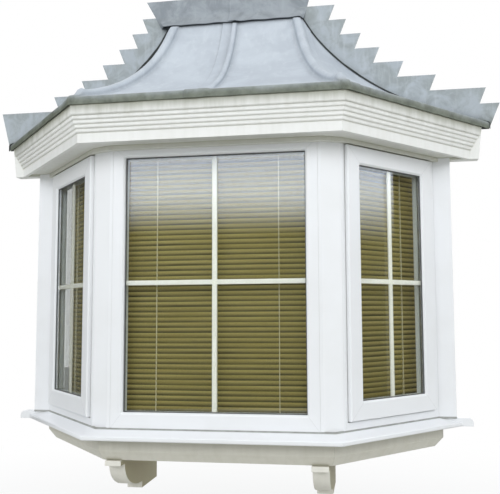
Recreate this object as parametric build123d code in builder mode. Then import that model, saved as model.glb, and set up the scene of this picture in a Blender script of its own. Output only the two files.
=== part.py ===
from build123d import *
import os
from math import cos, hypot, radians, sin, sqrt, tan

# Canted bay window with a swept lead roof, on two corbels. Millimetres, +Z up.
# The wall face is the plane y = 0, the bay projects toward -y, and the origin is
# the centre of the base panel's back face.
os.makedirs("parts", exist_ok=True)

# Plan, on the outer faces of the window frames
front_length = 971.0
projection = 475.0
side_turn = 45.0

# Levels of the main layers
base_height = 96.0
sill_height = 36.0
frame_height = 1164.0
head_thick = 12.0
eaves_height = 167.0

# Base
panel_inset = 55.0
base_inset = 14.5
base_band = 56.0
base_splay = 27.0
board_thick = 22.0

# Corbels
corbel_inset = 62.5
corbel_width = 69.0
corbel_reach = 450.0
corbel_height = 172.0
corbel_cap = 22.0
corbel_cap_step = 45.0
corbel_foot_reach = 198.0
corbel_foot = 28.0

# Sill
sill_reach = 72.0
sill_nose = 18.0
sill_nose_round = 6.0
sill_end_reach = 106.0
sill_end_round = 22.0
drip_groove = 3.0
drip_groove_inset = 16.0

# Posts
frame_depth = 60.0
post_leg = 58.0
post_facet = 44.0
wall_post_face = 77.0

# Fixed front light
front_stile = 50.0
front_bottom_rail = 66.0
front_top_rail = 48.0
front_glass_set = 20.0
glass_thick = 24.0
glass_cover = 14.0
glazing_bevel = 7.0

# Side casements
reveal_corner = 7.0
reveal_wall = 27.0
reveal_bottom = 34.0
reveal_top = 18.0
sash_gap = 4.0
sash_proud = 18.0
sash_seat = 40.0
sash_lap = 10.0
sash_stile = 70.0
sash_rail = 75.0
sash_glass_set = 12.0
sash_edge = 4.0

# Head trim
trim_height = 18.0
trim_reach = 18.0

# Cornice
cornice_inner = 100.0
cornice_reach = 152.0
cornice_lip = 11.0
cornice_band = 40.0
cornice_band_reach = 117.0
reed_count = 5
reed_height = 16.2
cornice_end_reach = 145.0
cornice_end_taper = 17.0

# Roof
roof_rise = 567.0
roof_top_gap = 22.0
roof_sag = 100.0
lead_thick = 3.0
deck_thick = 18.0
drip_gap = 2.0
drip_height = 31.0
sheet_gap = 0.2
roll_gap = 0.3
rib_thick = 44.0
rib_clear = 16.0
rib_depth = 120.0

# Rolls over the joints of the lead
centre_roll_radius = 13.0
hip_roll_radius = 20.0
roll_top_drop = 26.0
roll_foot_inset = 30.0
roll_side_count = 8

# Flashings on the wall
flash_thick = 4.0
flash_clear = 0.3
apron_top = 133.0
apron_lap = 14.0
apron_half = 350.0
apron_splay = 62.0
skirt_out = 36.0
skirt_rise = 60.0
course = 75.0
right_step_count = 8
left_step_count = 7
step_first = 47.0
step_cover = 76.0
step_tip = 30.0
step_tuck = 45.0
tuck_stations = 4
step_end_reach = 90.0
step_foot_reach = 40.0
step_lap = 40.0

# Blinds
slat_width = 24.0
slat_thick = 1.0
slat_pitch = 21.5
slat_tilt = 72.0
blind_set = 22.0
blind_side_clear = 9.0
blind_wall_clear = 52.0
headrail_height = 38.0
blind_foot_clear = 18.0
cord_size = 2.0
front_cord_count = 2
side_cord_count = 2
cord_inset_share = 0.19

# One overrun serves every cut that has to pass a face
overrun = 40.0

# Worked-out sizes
turn = radians(side_turn)
half_turn = turn / 2
corner_x = front_length / 2
stretch = 1 / sin(turn)
base_bottom = -base_height / 2
sill_under = base_bottom + base_height
seat = sill_under + sill_height
head = seat + frame_height
head_top = head + head_thick
side_length = projection / sin(turn)
side_end = (projection - frame_depth * cos(turn)) / sin(turn)
return_depth = frame_depth * cos(turn)
back_gap = flash_thick + flash_clear
eaves_reach = cornice_reach + drip_gap + lead_thick
eaves = head + eaves_height
roof_top = eaves + roof_rise
roof_run = eaves_reach + projection - roof_top_gap
roof_top_offset = eaves_reach - roof_run
chord = hypot(roof_run, roof_rise)
roof_radius = chord**2 / (8 * roof_sag) + roof_sag / 2
arc_offset = eaves_reach - roof_run / 2 + (roof_radius - roof_sag) * roof_rise / chord
arc_level = eaves + roof_rise / 2 + (roof_radius - roof_sag) * roof_run / chord
deck_outer = lead_thick + sheet_gap
deck_inner = deck_outer + deck_thick
drip_bottom = eaves - drip_height

# Section planes: local x points out of the face, local y up.
# Face planes: local x runs along the face, local y up, local z points out.
front_section = Plane(origin=(0, -projection, 0), x_dir=(0, -1, 0), z_dir=(-1, 0, 0))
front_face = Plane(origin=(0, -projection, 0), x_dir=(1, 0, 0), z_dir=(0, -1, 0))
side_section = Plane(
    origin=(corner_x, -projection, 0),
    x_dir=(sin(turn), -cos(turn), 0),
    z_dir=(-cos(turn), -sin(turn), 0),
)
side_face = Plane(
    origin=(corner_x, -projection, 0),
    x_dir=(cos(turn), sin(turn), 0),
    z_dir=(sin(turn), -cos(turn), 0),
)
mitre_right = Plane(origin=(corner_x, -projection, 0), z_dir=(cos(half_turn), sin(half_turn), 0))
mitre_left = Plane(origin=(-corner_x, -projection, 0), z_dir=(-cos(half_turn), sin(half_turn), 0))


def corner_point(offset):
    """Plan point where the front and right faces meet, pushed out by offset."""
    return (corner_x + offset * tan(half_turn), -(projection + offset))


def depth_point(offset, depth):
    """Plan point on the right face, pushed out by offset, at depth from the wall."""
    x, y = corner_point(offset)
    return (x - (depth + y) / tan(turn), -depth)


def side_point(along, offset):
    """Plan point on the right face, along from its corner and pushed out by offset."""
    return (
        corner_x + along * cos(turn) + offset * sin(turn),
        -projection + along * sin(turn) - offset * cos(turn),
    )


def both_sides(points):
    """Right-hand points, from the wall to the front, and their mirror images."""
    return points + [(-x, y) for x, y in reversed(points)]


def outline(points):
    """Face inside a closed line of straight edges."""
    Polygon(*points, align=None)


def save(piece, name):
    """Label one finished piece and write it."""
    piece.part.label = name
    export_step(piece.part, f"parts/{name}.step")


def save_pair(piece, name):
    """Write the right-hand piece and its mirror image."""
    save(piece, f"{name}_right")
    with BuildPart() as twin:
        mirror(piece.part, about=Plane.YZ)
    save(twin, f"{name}_left")


def wall_cut(depth):
    """Plane at depth from the wall, facing the wall."""
    return Plane(origin=(0, -depth, 0), z_dir=(0, 1, 0))


def front_run(draw):
    """Moulding along the front, mitred at both corners."""
    with BuildPart() as run:
        with BuildSketch(front_section):
            draw()
        extrude(amount=front_length, both=True)
        split(bisect_by=mitre_right, keep=Keep.BOTTOM)
        split(bisect_by=mitre_left, keep=Keep.BOTTOM)
    return run


def side_run(draw, depth):
    """Moulding along the right side, mitred at the corner and cut at depth."""
    with BuildPart() as run:
        with BuildSketch(side_section):
            draw()
        extrude(amount=side_length + front_length, both=True)
        split(bisect_by=mitre_right, keep=Keep.TOP)
        split(bisect_by=wall_cut(depth), keep=Keep.BOTTOM)
    return run


def roof_level(offset, depth):
    """Level of the swept roof at offset, depth below its outer face."""
    return arc_level - sqrt((roof_radius + depth) ** 2 - (arc_offset - offset) ** 2)


def sweep_edge(start, end, depth):
    """Arc of the swept roof between two offsets, depth below its outer face."""
    middle = (start + end) / 2
    ThreePointArc(
        (start, roof_level(start, depth)),
        (middle, roof_level(middle, depth)),
        (end, roof_level(end, depth)),
    )


# Base panel, the flat board that the bay stands on
with BuildPart() as base_panel:
    with BuildSketch(Plane.XY.offset(base_bottom)):
        outline(both_sides([depth_point(-panel_inset, 0), corner_point(-panel_inset)]))
    extrude(amount=base_height)
save(base_panel, "base_panel")

# Window board over the panel, on the room side of the sill
with BuildPart() as window_board:
    with BuildSketch(Plane.XY.offset(sill_under)):
        outline(both_sides([depth_point(-frame_depth, 0), corner_point(-frame_depth)]))
    extrude(amount=board_thick)
save(window_board, "window_board")


def base_profile():
    """Upright band over a band that splays back under the bay."""
    outline(
        [
            (-panel_inset, sill_under),
            (-base_inset, sill_under),
            (-base_inset, sill_under - base_band),
            (-base_inset - base_splay, base_bottom),
            (-panel_inset, base_bottom),
        ]
    )


save(front_run(base_profile), "base_front")
save_pair(side_run(base_profile, 0), "base")

# Corbel: cap, swelling quarter-ellipse and foot
with BuildPart() as corbel:
    with BuildSketch(Plane.YZ.offset(corner_x - corbel_inset)):
        swell_top = base_bottom - corbel_cap
        swell_foot = base_bottom - corbel_height + corbel_foot
        swell_reach = corbel_reach - corbel_cap_step
        with BuildLine():
            Polyline(
                (-swell_reach, swell_top),
                (-corbel_reach, swell_top),
                (-corbel_reach, base_bottom),
                (0, base_bottom),
                (0, base_bottom - corbel_height),
                (-corbel_foot_reach, base_bottom - corbel_height),
                (-corbel_foot_reach, swell_foot),
            )
            EllipticalCenterArc(
                (-corbel_foot_reach, swell_top),
                swell_reach - corbel_foot_reach,
                swell_top - swell_foot,
                start_angle=180,
                arc_size=90,
            )
        make_face()
    extrude(amount=corbel_width / 2, both=True)
save_pair(corbel, "corbel")


def sill_profile():
    """Level seat under the frame, then a weathered slope to a rounded nose."""
    outline(
        [
            (-frame_depth, sill_under),
            (-frame_depth, seat),
            (0, seat),
            (sill_reach, sill_under + sill_nose),
            (sill_reach, sill_under),
        ]
    )
    nose = vertices().group_by(Axis.X)[-1]
    fillet(nose, sill_nose_round)
    with Locations((sill_reach - drip_groove_inset, sill_under)):
        Circle(drip_groove, mode=Mode.SUBTRACT)


save(front_run(sill_profile), "sill_front")
save_pair(side_run(sill_profile, return_depth), "sill")

# Level end of the sill against the wall, with its outer top edge rounded
wall_post_x = side_point(side_end, 0)[0] + wall_post_face
sill_end_x = depth_point(0, 0)[0] + sill_end_reach
with BuildPart() as sill_end:
    with BuildSketch(Plane.XY.offset(sill_under)):
        outline(
            [
                depth_point(-frame_depth, 0),
                depth_point(-frame_depth, return_depth),
                (sill_end_x, -return_depth),
                (sill_end_x, 0),
            ]
        )
    extrude(amount=sill_height)
    fillet(sill_end.edges().group_by(Axis.Z)[-1].sort_by(Axis.X)[-1], sill_end_round)
save_pair(sill_end, "sill_end")

# Corner post with a flat facet between the two windows
with BuildPart() as corner_post:
    with BuildSketch(Plane.XY.offset(seat)):
        outline(
            [
                (corner_x - post_leg, -projection),
                (corner_x - post_facet, -projection),
                side_point(post_facet, 0),
                side_point(post_leg, 0),
                side_point(post_leg, -frame_depth),
                corner_point(-frame_depth),
                (corner_x - post_leg, frame_depth - projection),
            ]
        )
    extrude(amount=frame_height)
save_pair(corner_post, "corner_post")

# Wall post, a flat strip on the wall beside each casement frame
with BuildPart() as wall_post:
    with BuildSketch(Plane.XY.offset(seat)):
        outline(
            [
                side_point(side_end, 0),
                (wall_post_x, -return_depth),
                (wall_post_x, 0),
                side_point(side_end, -frame_depth),
            ]
        )
    extrude(amount=frame_height)
save_pair(wall_post, "wall_post")


def rectangle(left, bottom, right, top, mode=Mode.ADD):
    """Upright rectangle between two corners."""
    with Locations(((left + right) / 2, (bottom + top) / 2)):
        Rectangle(right - left, top - bottom, mode=mode)


def pane(face, left, bottom, right, top, front):
    """Sealed glass unit whose hidden edge sits in the frame around the opening."""
    with BuildPart() as glass:
        with BuildSketch(face.offset(front)):
            rectangle(left - glass_cover, bottom - glass_cover, right + glass_cover, top + glass_cover)
        extrude(amount=-glass_thick)
    return glass


# Front light, glazed straight into its frame
front_half = corner_x - post_leg
front_opening = (
    front_stile - front_half,
    seat + front_bottom_rail,
    front_half - front_stile,
    head - front_top_rail,
)
front_glass = pane(front_face, *front_opening, -front_glass_set)
with BuildPart() as front_frame:
    with BuildSketch(front_face):
        rectangle(-front_half, seat, front_half, head)
        rectangle(*front_opening, mode=Mode.SUBTRACT)
    extrude(amount=-frame_depth)
    chamfer(front_frame.faces().sort_by(Axis.Y)[0].inner_wires()[0].edges(), glazing_bevel)
    add(front_glass.part, mode=Mode.SUBTRACT)
save(front_frame, "front_frame")
save(front_glass, "front_glass")

# Side casement: outer frame with a stop, proud sash and glass
sash_left = post_leg + reveal_corner + sash_gap
sash_right = side_end - reveal_wall - sash_gap
sash_bottom = seat + reveal_bottom + sash_gap
sash_top = head - reveal_top - sash_gap
sash_opening = (
    sash_left + sash_stile,
    sash_bottom + sash_rail,
    sash_right - sash_stile,
    sash_top - sash_rail,
)
with BuildPart() as frame:
    with BuildSketch(side_face):
        rectangle(post_leg, seat, side_end, head)
        rectangle(
            sash_left - sash_gap,
            sash_bottom - sash_gap,
            sash_right + sash_gap,
            sash_top + sash_gap,
            mode=Mode.SUBTRACT,
        )
    extrude(amount=-sash_seat)
    with BuildSketch(side_face.offset(-sash_seat)):
        rectangle(post_leg, seat, side_end, head)
        rectangle(
            sash_left + sash_lap,
            sash_bottom + sash_lap,
            sash_right - sash_lap,
            sash_top - sash_lap,
            mode=Mode.SUBTRACT,
        )
    extrude(amount=sash_seat - frame_depth)
save_pair(frame, "frame")

sash_glass = pane(side_face, *sash_opening, sash_proud - sash_glass_set)
with BuildPart() as sash:
    with BuildSketch(side_face.offset(sash_proud)):
        rectangle(sash_left, sash_bottom, sash_right, sash_top)
        rectangle(*sash_opening, mode=Mode.SUBTRACT)
    extrude(amount=-sash_seat - sash_proud)
    sash_front = sash.faces().sort_by(Axis(side_face.origin, side_face.z_dir))[-1]
    chamfer(sash_front.inner_wires()[0].edges(), glazing_bevel)
    sash_front = sash.faces().sort_by(Axis(side_face.origin, side_face.z_dir))[-1]
    chamfer(sash_front.outer_wire().edges(), sash_edge)
    add(sash_glass.part, mode=Mode.SUBTRACT)
save_pair(sash, "sash")
save_pair(sash_glass, "sash_glass")

# Board over the window heads: soffit outside, ceiling inside
with BuildPart() as head_board:
    with BuildSketch(Plane.XY.offset(head)):
        outline(
            both_sides(
                [
                    (wall_post_x, 0),
                    (wall_post_x, -return_depth),
                    depth_point(cornice_inner, return_depth),
                    corner_point(cornice_inner),
                ]
            )
        )
    extrude(amount=head_thick)
save(head_board, "head_board")


def post_outline():
    """Right-hand line of the window faces with the corner post's facet."""
    return [
        depth_point(0, 0),
        side_point(post_facet, 0),
        (corner_x - post_facet, -projection),
    ]


def trim_ring():
    """Small trim under the soffit, following the windows and corner posts."""
    with BuildSketch(Plane.XY.offset(head)) as ring:
        outline(both_sides(post_outline()))
        offset(amount=trim_reach, kind=Kind.INTERSECTION)
        Polygon(*both_sides(post_outline()), align=None, mode=Mode.SUBTRACT)
    extrude(ring.sketch, amount=-trim_height)
    split(bisect_by=wall_cut(return_depth), keep=Keep.BOTTOM)


with BuildPart() as head_trim_front:
    trim_ring()
    split(bisect_by=mitre_right, keep=Keep.BOTTOM)
    split(bisect_by=mitre_left, keep=Keep.BOTTOM)
save(head_trim_front, "head_trim_front")

with BuildPart() as head_trim:
    trim_ring()
    split(bisect_by=mitre_right, keep=Keep.TOP)
save_pair(head_trim, "head_trim")

cornice_bottom = head - cornice_lip
reed_reach = (cornice_reach - cornice_band_reach) / reed_count


def cornice_profile():
    """Plain band, quarter-round reeds stepping out, and a plain top band."""
    quarter = radians(45)
    with BuildLine() as edge:
        Polyline(
            (cornice_inner, roof_level(cornice_inner, deck_inner + sheet_gap)),
            (cornice_inner, cornice_bottom),
            (cornice_band_reach, cornice_bottom),
            (cornice_band_reach, cornice_bottom + cornice_band),
        )
        for reed in range(reed_count):
            reach = cornice_band_reach + reed * reed_reach
            level = cornice_bottom + cornice_band + reed * reed_height
            ThreePointArc(
                (reach, level),
                (reach + reed_reach * sin(quarter), level + reed_reach * (1 - cos(quarter))),
                (reach + reed_reach, level + reed_reach),
            )
            if reed < reed_count - 1:
                Line((reach + reed_reach, level + reed_reach), (reach + reed_reach, level + reed_height))
        Line(
            (cornice_reach, level + reed_reach),
            (cornice_reach, roof_level(cornice_reach, deck_inner + sheet_gap)),
        )
        sweep_edge(cornice_reach, cornice_inner, deck_inner + sheet_gap)
    make_face(edge.edges())


save(front_run(cornice_profile), "cornice_front")
save_pair(side_run(cornice_profile, return_depth), "cornice")

# Flat end of the cornice against the wall, tapering in toward its foot
cornice_end_x = wall_post_x + cornice_end_reach
with BuildPart() as cornice_end:
    with BuildSketch(Plane.XZ):
        outline(
            [
                (wall_post_x, cornice_bottom),
                (cornice_end_x - cornice_end_taper, cornice_bottom),
                (cornice_end_x, drip_bottom - drip_gap),
                (wall_post_x, drip_bottom - drip_gap),
            ]
        )
    extrude(amount=return_depth)
save_pair(cornice_end, "cornice_end")


def deck_profile():
    """Boarding under the lead, bent to the sweep of the roof."""
    with BuildLine() as edge:
        sweep_edge(cornice_reach, roof_top_offset, deck_outer)
        Line(
            (roof_top_offset, roof_level(roof_top_offset, deck_outer)),
            (roof_top_offset, roof_level(roof_top_offset, deck_inner)),
        )
        sweep_edge(roof_top_offset, cornice_reach, deck_inner)
        Line(
            (cornice_reach, roof_level(cornice_reach, deck_inner)),
            (cornice_reach, roof_level(cornice_reach, deck_outer)),
        )
    make_face(edge.edges())


save(front_run(deck_profile), "deck_front")
save_pair(side_run(deck_profile, back_gap), "deck")


def lead_profile():
    """Lead sheet over the sweep, turned down over the cornice as a drip."""
    inner_reach = eaves_reach - lead_thick
    with BuildLine() as edge:
        sweep_edge(eaves_reach, roof_top_offset, 0)
        Line((roof_top_offset, roof_top), (roof_top_offset, roof_level(roof_top_offset, lead_thick)))
        sweep_edge(roof_top_offset, inner_reach, lead_thick)
        Polyline(
            (inner_reach, roof_level(inner_reach, lead_thick)),
            (inner_reach, drip_bottom),
            (eaves_reach, drip_bottom),
            (eaves_reach, eaves),
        )
    make_face(edge.edges())


with BuildPart() as lead_front:
    add(front_run(lead_profile).part)
    split(bisect_by=Plane.YZ, keep=Keep.TOP)
save_pair(lead_front, "lead_front")
save_pair(side_run(lead_profile, back_gap), "lead_side")

# Ribs that carry the front boarding on the head board
rib_x = corner_point(roof_top_offset)[0] - rib_thick / 2 - rib_clear
for name, x in (("left", -rib_x), ("centre", 0), ("right", rib_x)):
    with BuildPart() as rib:
        with BuildSketch(front_section.offset(-x)):
            foot_offset = -frame_depth
            rib_back = roof_top_offset + rib_depth
            with BuildLine():
                sweep_edge(foot_offset, roof_top_offset, deck_inner + sheet_gap)
                Polyline(
                    (roof_top_offset, roof_level(roof_top_offset, deck_inner + sheet_gap)),
                    (roof_top_offset, head_top),
                    (rib_back, head_top),
                    (rib_back, roof_level(rib_back, deck_inner) - rib_depth),
                    (foot_offset, roof_level(foot_offset, deck_inner) - rib_depth),
                    (foot_offset, roof_level(foot_offset, deck_inner + sheet_gap)),
                )
            make_face()
        extrude(amount=rib_thick / 2, both=True)
    save(rib, f"rib_{name}")


def roof_mass():
    """Everything under the lead, a roll's clearance above its outer face."""
    with BuildLine() as edge:
        sweep_edge(eaves_reach + overrun, roof_top_offset, -roll_gap)
        Polyline(
            (roof_top_offset, roof_level(roof_top_offset, -roll_gap)),
            (roof_top_offset, head),
            (eaves_reach + overrun, head),
            (eaves_reach + overrun, roof_level(eaves_reach + overrun, -roll_gap)),
        )
    make_face(edge.edges())


# Roll over the joint between the two front sheets
roll_top = roof_top_offset + roll_top_drop
roll_foot = eaves_reach - roll_foot_inset
with BuildPart() as centre_roll:
    with BuildLine(front_section) as roll_path:
        sweep_edge(roll_foot, roll_top, 0)
    with BuildSketch(Plane(origin=roll_path.line @ 0, z_dir=roll_path.line % 0)):
        RegularPolygon(centre_roll_radius, roll_side_count)
    sweep(path=roll_path.line)
    with BuildSketch(front_section):
        roof_mass()
    extrude(amount=front_length, both=True, mode=Mode.SUBTRACT)
save(centre_roll, "centre_roll")

# Body of the roof at a hip, cut out of the hip roll
with BuildPart() as roof_corner:
    with BuildSketch(front_section):
        roof_mass()
    extrude(amount=front_length + projection, both=True)
    with BuildSketch(side_section):
        roof_mass()
    extrude(amount=front_length + projection, both=True, mode=Mode.INTERSECT)

# Roll over each hip, along the line where the front and side sweeps meet
hip_plane = Plane(
    origin=(corner_x, -projection, 0),
    x_dir=(sin(half_turn), -cos(half_turn), 0),
    z_dir=(-cos(half_turn), -sin(half_turn), 0),
)
with BuildPart() as hip_roll:
    with BuildLine(hip_plane) as hip_path:
        ThreePointArc(
            *[
                (reach / cos(half_turn), roof_level(reach, 0))
                for reach in (roll_foot, (roll_foot + roll_top) / 2, roll_top)
            ]
        )
    with BuildSketch(Plane(origin=hip_path.line @ 0, z_dir=hip_path.line % 0)):
        RegularPolygon(hip_roll_radius, roll_side_count)
    sweep(path=hip_path.line)
    add(roof_corner.part, mode=Mode.SUBTRACT)
save_pair(hip_roll, "hip_roll")

# Apron flashing: a band on the wall with a skirt over the top of the lead
apron_bottom = roof_top - apron_lap
apron_upper = roof_top + apron_top
with BuildPart() as apron_flashing:
    with BuildSketch(Plane.YZ):
        outline(
            [
                (0, apron_upper),
                (-flash_thick, apron_upper),
                (-flash_thick, apron_bottom + skirt_rise),
                (-skirt_out - flash_thick, apron_bottom),
                (-skirt_out, apron_bottom),
                (0, apron_bottom + skirt_rise),
            ]
        )
    extrude(amount=front_length, both=True)
    with BuildSketch(Plane.XZ):
        outline(
            both_sides([(apron_half + apron_splay, apron_upper), (apron_half, apron_bottom)])
        )
    extrude(amount=projection, both=True, mode=Mode.INTERSECT)
save(apron_flashing, "apron_flashing")


def slope_x(level, lift):
    """Distance of the side slope from the centre at the wall, raised by lift."""
    reach = arc_offset - sqrt((roof_radius - lift) ** 2 - (arc_level - level) ** 2)
    return depth_point(0, 0)[0] + reach * stretch


def apron_edge(level):
    """Splayed end of the apron at a level."""
    share = (level - apron_bottom) / (apron_upper - apron_bottom)
    return (apron_half + share * apron_splay, level)


# Step flashings: one tooth to each brick course, their feet tucked behind the roof
step_top = roof_top + step_first
step_end_x = cornice_end_x + step_end_reach
tuck_levels = [
    drip_bottom + (roof_top - drip_bottom) * station / tuck_stations
    for station in range(tuck_stations + 1)
]
tucks = [(slope_x(level, -step_tuck), level) for level in tuck_levels]
lap_level = apron_bottom + step_lap
for side, step_count in (("left", left_step_count), ("right", right_step_count)):
    step_low = step_top - (step_count - 1) * course
    teeth = []
    for step in range(step_count - 1):
        level = step_top - step * course
        notch = slope_x(level - course, step_cover)
        teeth.append((notch + step_tip, level))
        teeth.append((notch, level - course))
    with BuildPart() as step_flashing:
        with BuildSketch(Plane.XZ):
            outline(
                [(tucks[-1][0], lap_level), apron_edge(lap_level), apron_edge(step_top)]
                + teeth
                + [(step_end_x, step_low), (cornice_end_x + step_foot_reach, drip_bottom)]
                + tucks
            )
        extrude(amount=flash_thick)
        if side == "left":
            mirror(about=Plane.YZ, mode=Mode.REPLACE)
    save(step_flashing, f"step_flashing_{side}")


def blind(section, start, end, cord_count):
    """Venetian blind between two places along a window, hung from the head board."""
    set_back = -frame_depth - blind_set
    top = head - headrail_height
    foot = seat + blind_foot_clear
    slats = int((top - foot) / slat_pitch)
    cord_ends = (start + (end - start) * cord_inset_share, end - (end - start) * cord_inset_share)
    with BuildPart() as hanging:
        with BuildSketch(section.offset(-start)):
            rectangle(set_back - slat_width / 2, top, set_back + slat_width / 2, head)
            rectangle(set_back - slat_width / 2, foot - slat_width / 2, set_back + slat_width / 2, foot)
            for slat in range(slats):
                with Locations((set_back, foot + (slat + 1) * slat_pitch - slat_pitch / 2)):
                    Rectangle(slat_width, slat_thick, rotation=slat_tilt)
        extrude(amount=start - end)
        for cord in range(cord_count):
            place = cord_ends[0] + (cord_ends[1] - cord_ends[0]) * cord / (cord_count - 1)
            with BuildSketch(section.offset(-place)):
                rectangle(set_back - cord_size / 2, foot, set_back + cord_size / 2, top)
            extrude(amount=cord_size / 2, both=True)
    return hanging


front_blind_half = front_half - blind_side_clear
save(blind(front_section, -front_blind_half, front_blind_half, front_cord_count), "front_blind")
side_blind_start = post_leg + blind_side_clear
side_blind_end = side_end - blind_wall_clear
save_pair(blind(side_section, side_blind_start, side_blind_end, side_cord_count), "blind")
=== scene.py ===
import logging
from dataclasses import dataclass, field
from enum import Enum
from math import asin, cos, exp, hypot, pi, radians, sin, tan
from random import Random
from typing import NamedTuple, Protocol, Sequence

import bmesh
import bpy
from bpy.types import Material, Mesh, Node, NodeSocket, NodeTree, Object
from mathutils import Matrix, Vector, noise


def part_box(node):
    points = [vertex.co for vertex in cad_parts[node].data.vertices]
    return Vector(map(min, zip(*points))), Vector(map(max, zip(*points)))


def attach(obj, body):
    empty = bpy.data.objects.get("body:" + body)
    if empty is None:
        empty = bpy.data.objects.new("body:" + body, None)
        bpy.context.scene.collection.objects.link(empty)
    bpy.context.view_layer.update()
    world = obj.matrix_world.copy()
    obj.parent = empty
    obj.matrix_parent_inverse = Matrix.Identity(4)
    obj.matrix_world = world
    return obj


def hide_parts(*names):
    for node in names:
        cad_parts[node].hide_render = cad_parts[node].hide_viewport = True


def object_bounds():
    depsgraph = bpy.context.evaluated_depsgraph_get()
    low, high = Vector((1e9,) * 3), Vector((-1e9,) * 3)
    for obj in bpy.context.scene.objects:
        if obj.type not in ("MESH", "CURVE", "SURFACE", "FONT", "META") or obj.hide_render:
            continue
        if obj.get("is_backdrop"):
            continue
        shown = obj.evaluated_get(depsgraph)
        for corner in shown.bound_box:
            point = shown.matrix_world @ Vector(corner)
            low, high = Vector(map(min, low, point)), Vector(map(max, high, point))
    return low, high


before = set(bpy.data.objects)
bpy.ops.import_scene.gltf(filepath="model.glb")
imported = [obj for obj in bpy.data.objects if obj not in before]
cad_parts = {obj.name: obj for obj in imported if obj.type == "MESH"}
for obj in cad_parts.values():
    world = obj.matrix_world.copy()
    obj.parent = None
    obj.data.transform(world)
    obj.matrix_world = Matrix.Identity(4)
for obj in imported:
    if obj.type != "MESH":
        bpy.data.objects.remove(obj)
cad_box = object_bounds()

LOG = logging.getLogger("bay_window")
BODY = "root"
MM = 0.001
WHITE = "#FFFFFF"
# Corners of a CAD mesh that lie closer than this are one corner, in millimetres
WELD_GAP = 0.02
# Degrees: a flatter turn is one face, a sharper one is a rounded edge on a node or a crisp one on a piece
FLAT_TURN, EDGE_TURN, CRISP_TURN = 0.5, 32.0, 38.0
# Sockets of a colour Mix node
FACTOR, FIRST, SECOND, MIXED = 0, 6, 7, 2

Point = tuple[float, float, float]
Pair = tuple[float, float]
Colour = str | NodeSocket


class Slot(Enum):
    """Material slots of the record."""

    UPVC = "upvc"
    LEAD = "lead"
    GLASS = "glass"
    BLIND = "blind"


class Side(Enum):
    """Which hand a piece is, as the factor on its x."""

    RIGHT = 1.0
    LEFT = -1.0

    @property
    def word(self) -> str:
        """Name of the side, as the nodes spell it."""
        return self.name.lower()


class Pattern(Enum):
    """Which pattern of unevenness a flashing takes, so that no two are alike."""

    APRON = 3.0
    STEPS = 5.0
    JOINT = 7.0
    HEM = 9.0


class Ramp(NamedTuple):
    """Part of a pattern's range that counts, and the shares that its two ends give."""

    start: float
    end: float
    first: float = 0.0
    last: float = 1.0


class Relief(NamedTuple):
    """How strongly a surface's fine relief shows, and its depth in millimetres."""

    strength: float
    depth: float


def linear(colour: str) -> tuple[float, float, float, float]:
    """Turn an sRGB hex colour into linear RGBA.

    Args:
        colour: Six hex digits after a hash.

    Returns:
        Linear red, green and blue, with alpha 1.
    """
    shares = [int(colour[i : i + 2], 16) / 255 for i in (1, 3, 5)]
    bent = [s / 12.92 if s <= 0.04045 else ((s + 0.055) / 1.055) ** 2.4 for s in shares]
    return (bent[0], bent[1], bent[2], 1.0)


def per_metre(size: float) -> float:
    """Texture scale that gives features of this size in millimetres."""
    return 1 / (size * MM)


def smooth(low: float, high: float, value: float) -> float:
    """Ease from 0 at low to 1 at high.

    Args:
        low: Value that gives 0.
        high: Value that gives 1.
        value: Value to place between them.

    Returns:
        The eased share, held within 0 and 1.
    """
    share = min(max((value - low) / (high - low), 0.0), 1.0)
    return share * share * (3 - 2 * share)


def spread(start: float, end: float, count: int) -> list[float]:
    """Evenly spaced values from start to end, both included."""
    return [start + (end - start) * i / (count - 1) for i in range(count)]


def add_node(
    tree: NodeTree, kind: str, inputs: dict | Sequence = (), out: str | int = 0, **settings: object
) -> NodeSocket:
    """Add one shader node with its settings, values and links.

    Args:
        tree: Node tree that takes the node.
        kind: Blender's name for the node type, after its common beginning.
        inputs: What each input gets, by name or in order: a socket that feeds it, a value or a hex colour.
        out: Name or place of the output that is wanted.
        settings: Attributes of the node.

    Returns:
        That output.
    """
    node = tree.nodes.new(f"ShaderNode{kind}")
    for name, value in settings.items():
        setattr(node, name, value)
    for name, value in (inputs if isinstance(inputs, dict) else dict(enumerate(inputs))).items():
        if isinstance(value, NodeSocket):
            tree.links.new(value, node.inputs[name])
        else:
            node.inputs[name].default_value = linear(value) if isinstance(value, str) else value
    return node.outputs[out]


def new_surface(
    name: str, roughness: float, ior: float = 1.5, metallic: float = 0.0
) -> tuple[Material, NodeTree, Node]:
    """Start a material from its plain physical values.

    Args:
        name: What the material is and how it was made.
        roughness: Roughness of the bare surface.
        ior: Index of refraction.
        metallic: Share of bare metal.

    Returns:
        The material, its node tree and its shader.
    """
    material = bpy.data.materials.new(name)
    material.use_nodes = True
    shader = material.node_tree.nodes["Principled BSDF"]
    for socket, value in (("Roughness", roughness), ("IOR", ior), ("Metallic", metallic)):
        shader.inputs[socket].default_value = value
    return material, material.node_tree, shader


def dress_shader(
    shader: Node,
    ground: Colour,
    coats: Sequence[tuple[NodeSocket, Colour]],
    height: NodeSocket | None = None,
    relief: Relief = Relief(0.0, 0.0),
) -> None:
    """Lay coats of colour on a surface, and press its relief into it.

    Args:
        shader: Shader of the surface.
        ground: Colour under the coats.
        coats: Share and colour of each coat, in the order that they lie.
        height: Pattern of the relief, where there is one.
        relief: Strength and depth of the relief.
    """
    tree = shader.id_data
    colour = ground
    for share, coat in coats:
        layer = {FACTOR: share, FIRST: colour, SECOND: coat}
        colour = add_node(tree, "Mix", layer, MIXED, data_type="RGBA")
    tree.links.new(colour, shader.inputs["Base Color"])
    if height is not None:
        pressed = {"Height": height, "Strength": relief.strength, "Distance": relief.depth * MM}
        tree.links.new(add_node(tree, "Bump", pressed), shader.inputs["Normal"])


class Finish(Protocol):
    """Anything that makes a material."""

    def make(self) -> Material:
        """Build the material."""


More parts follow.
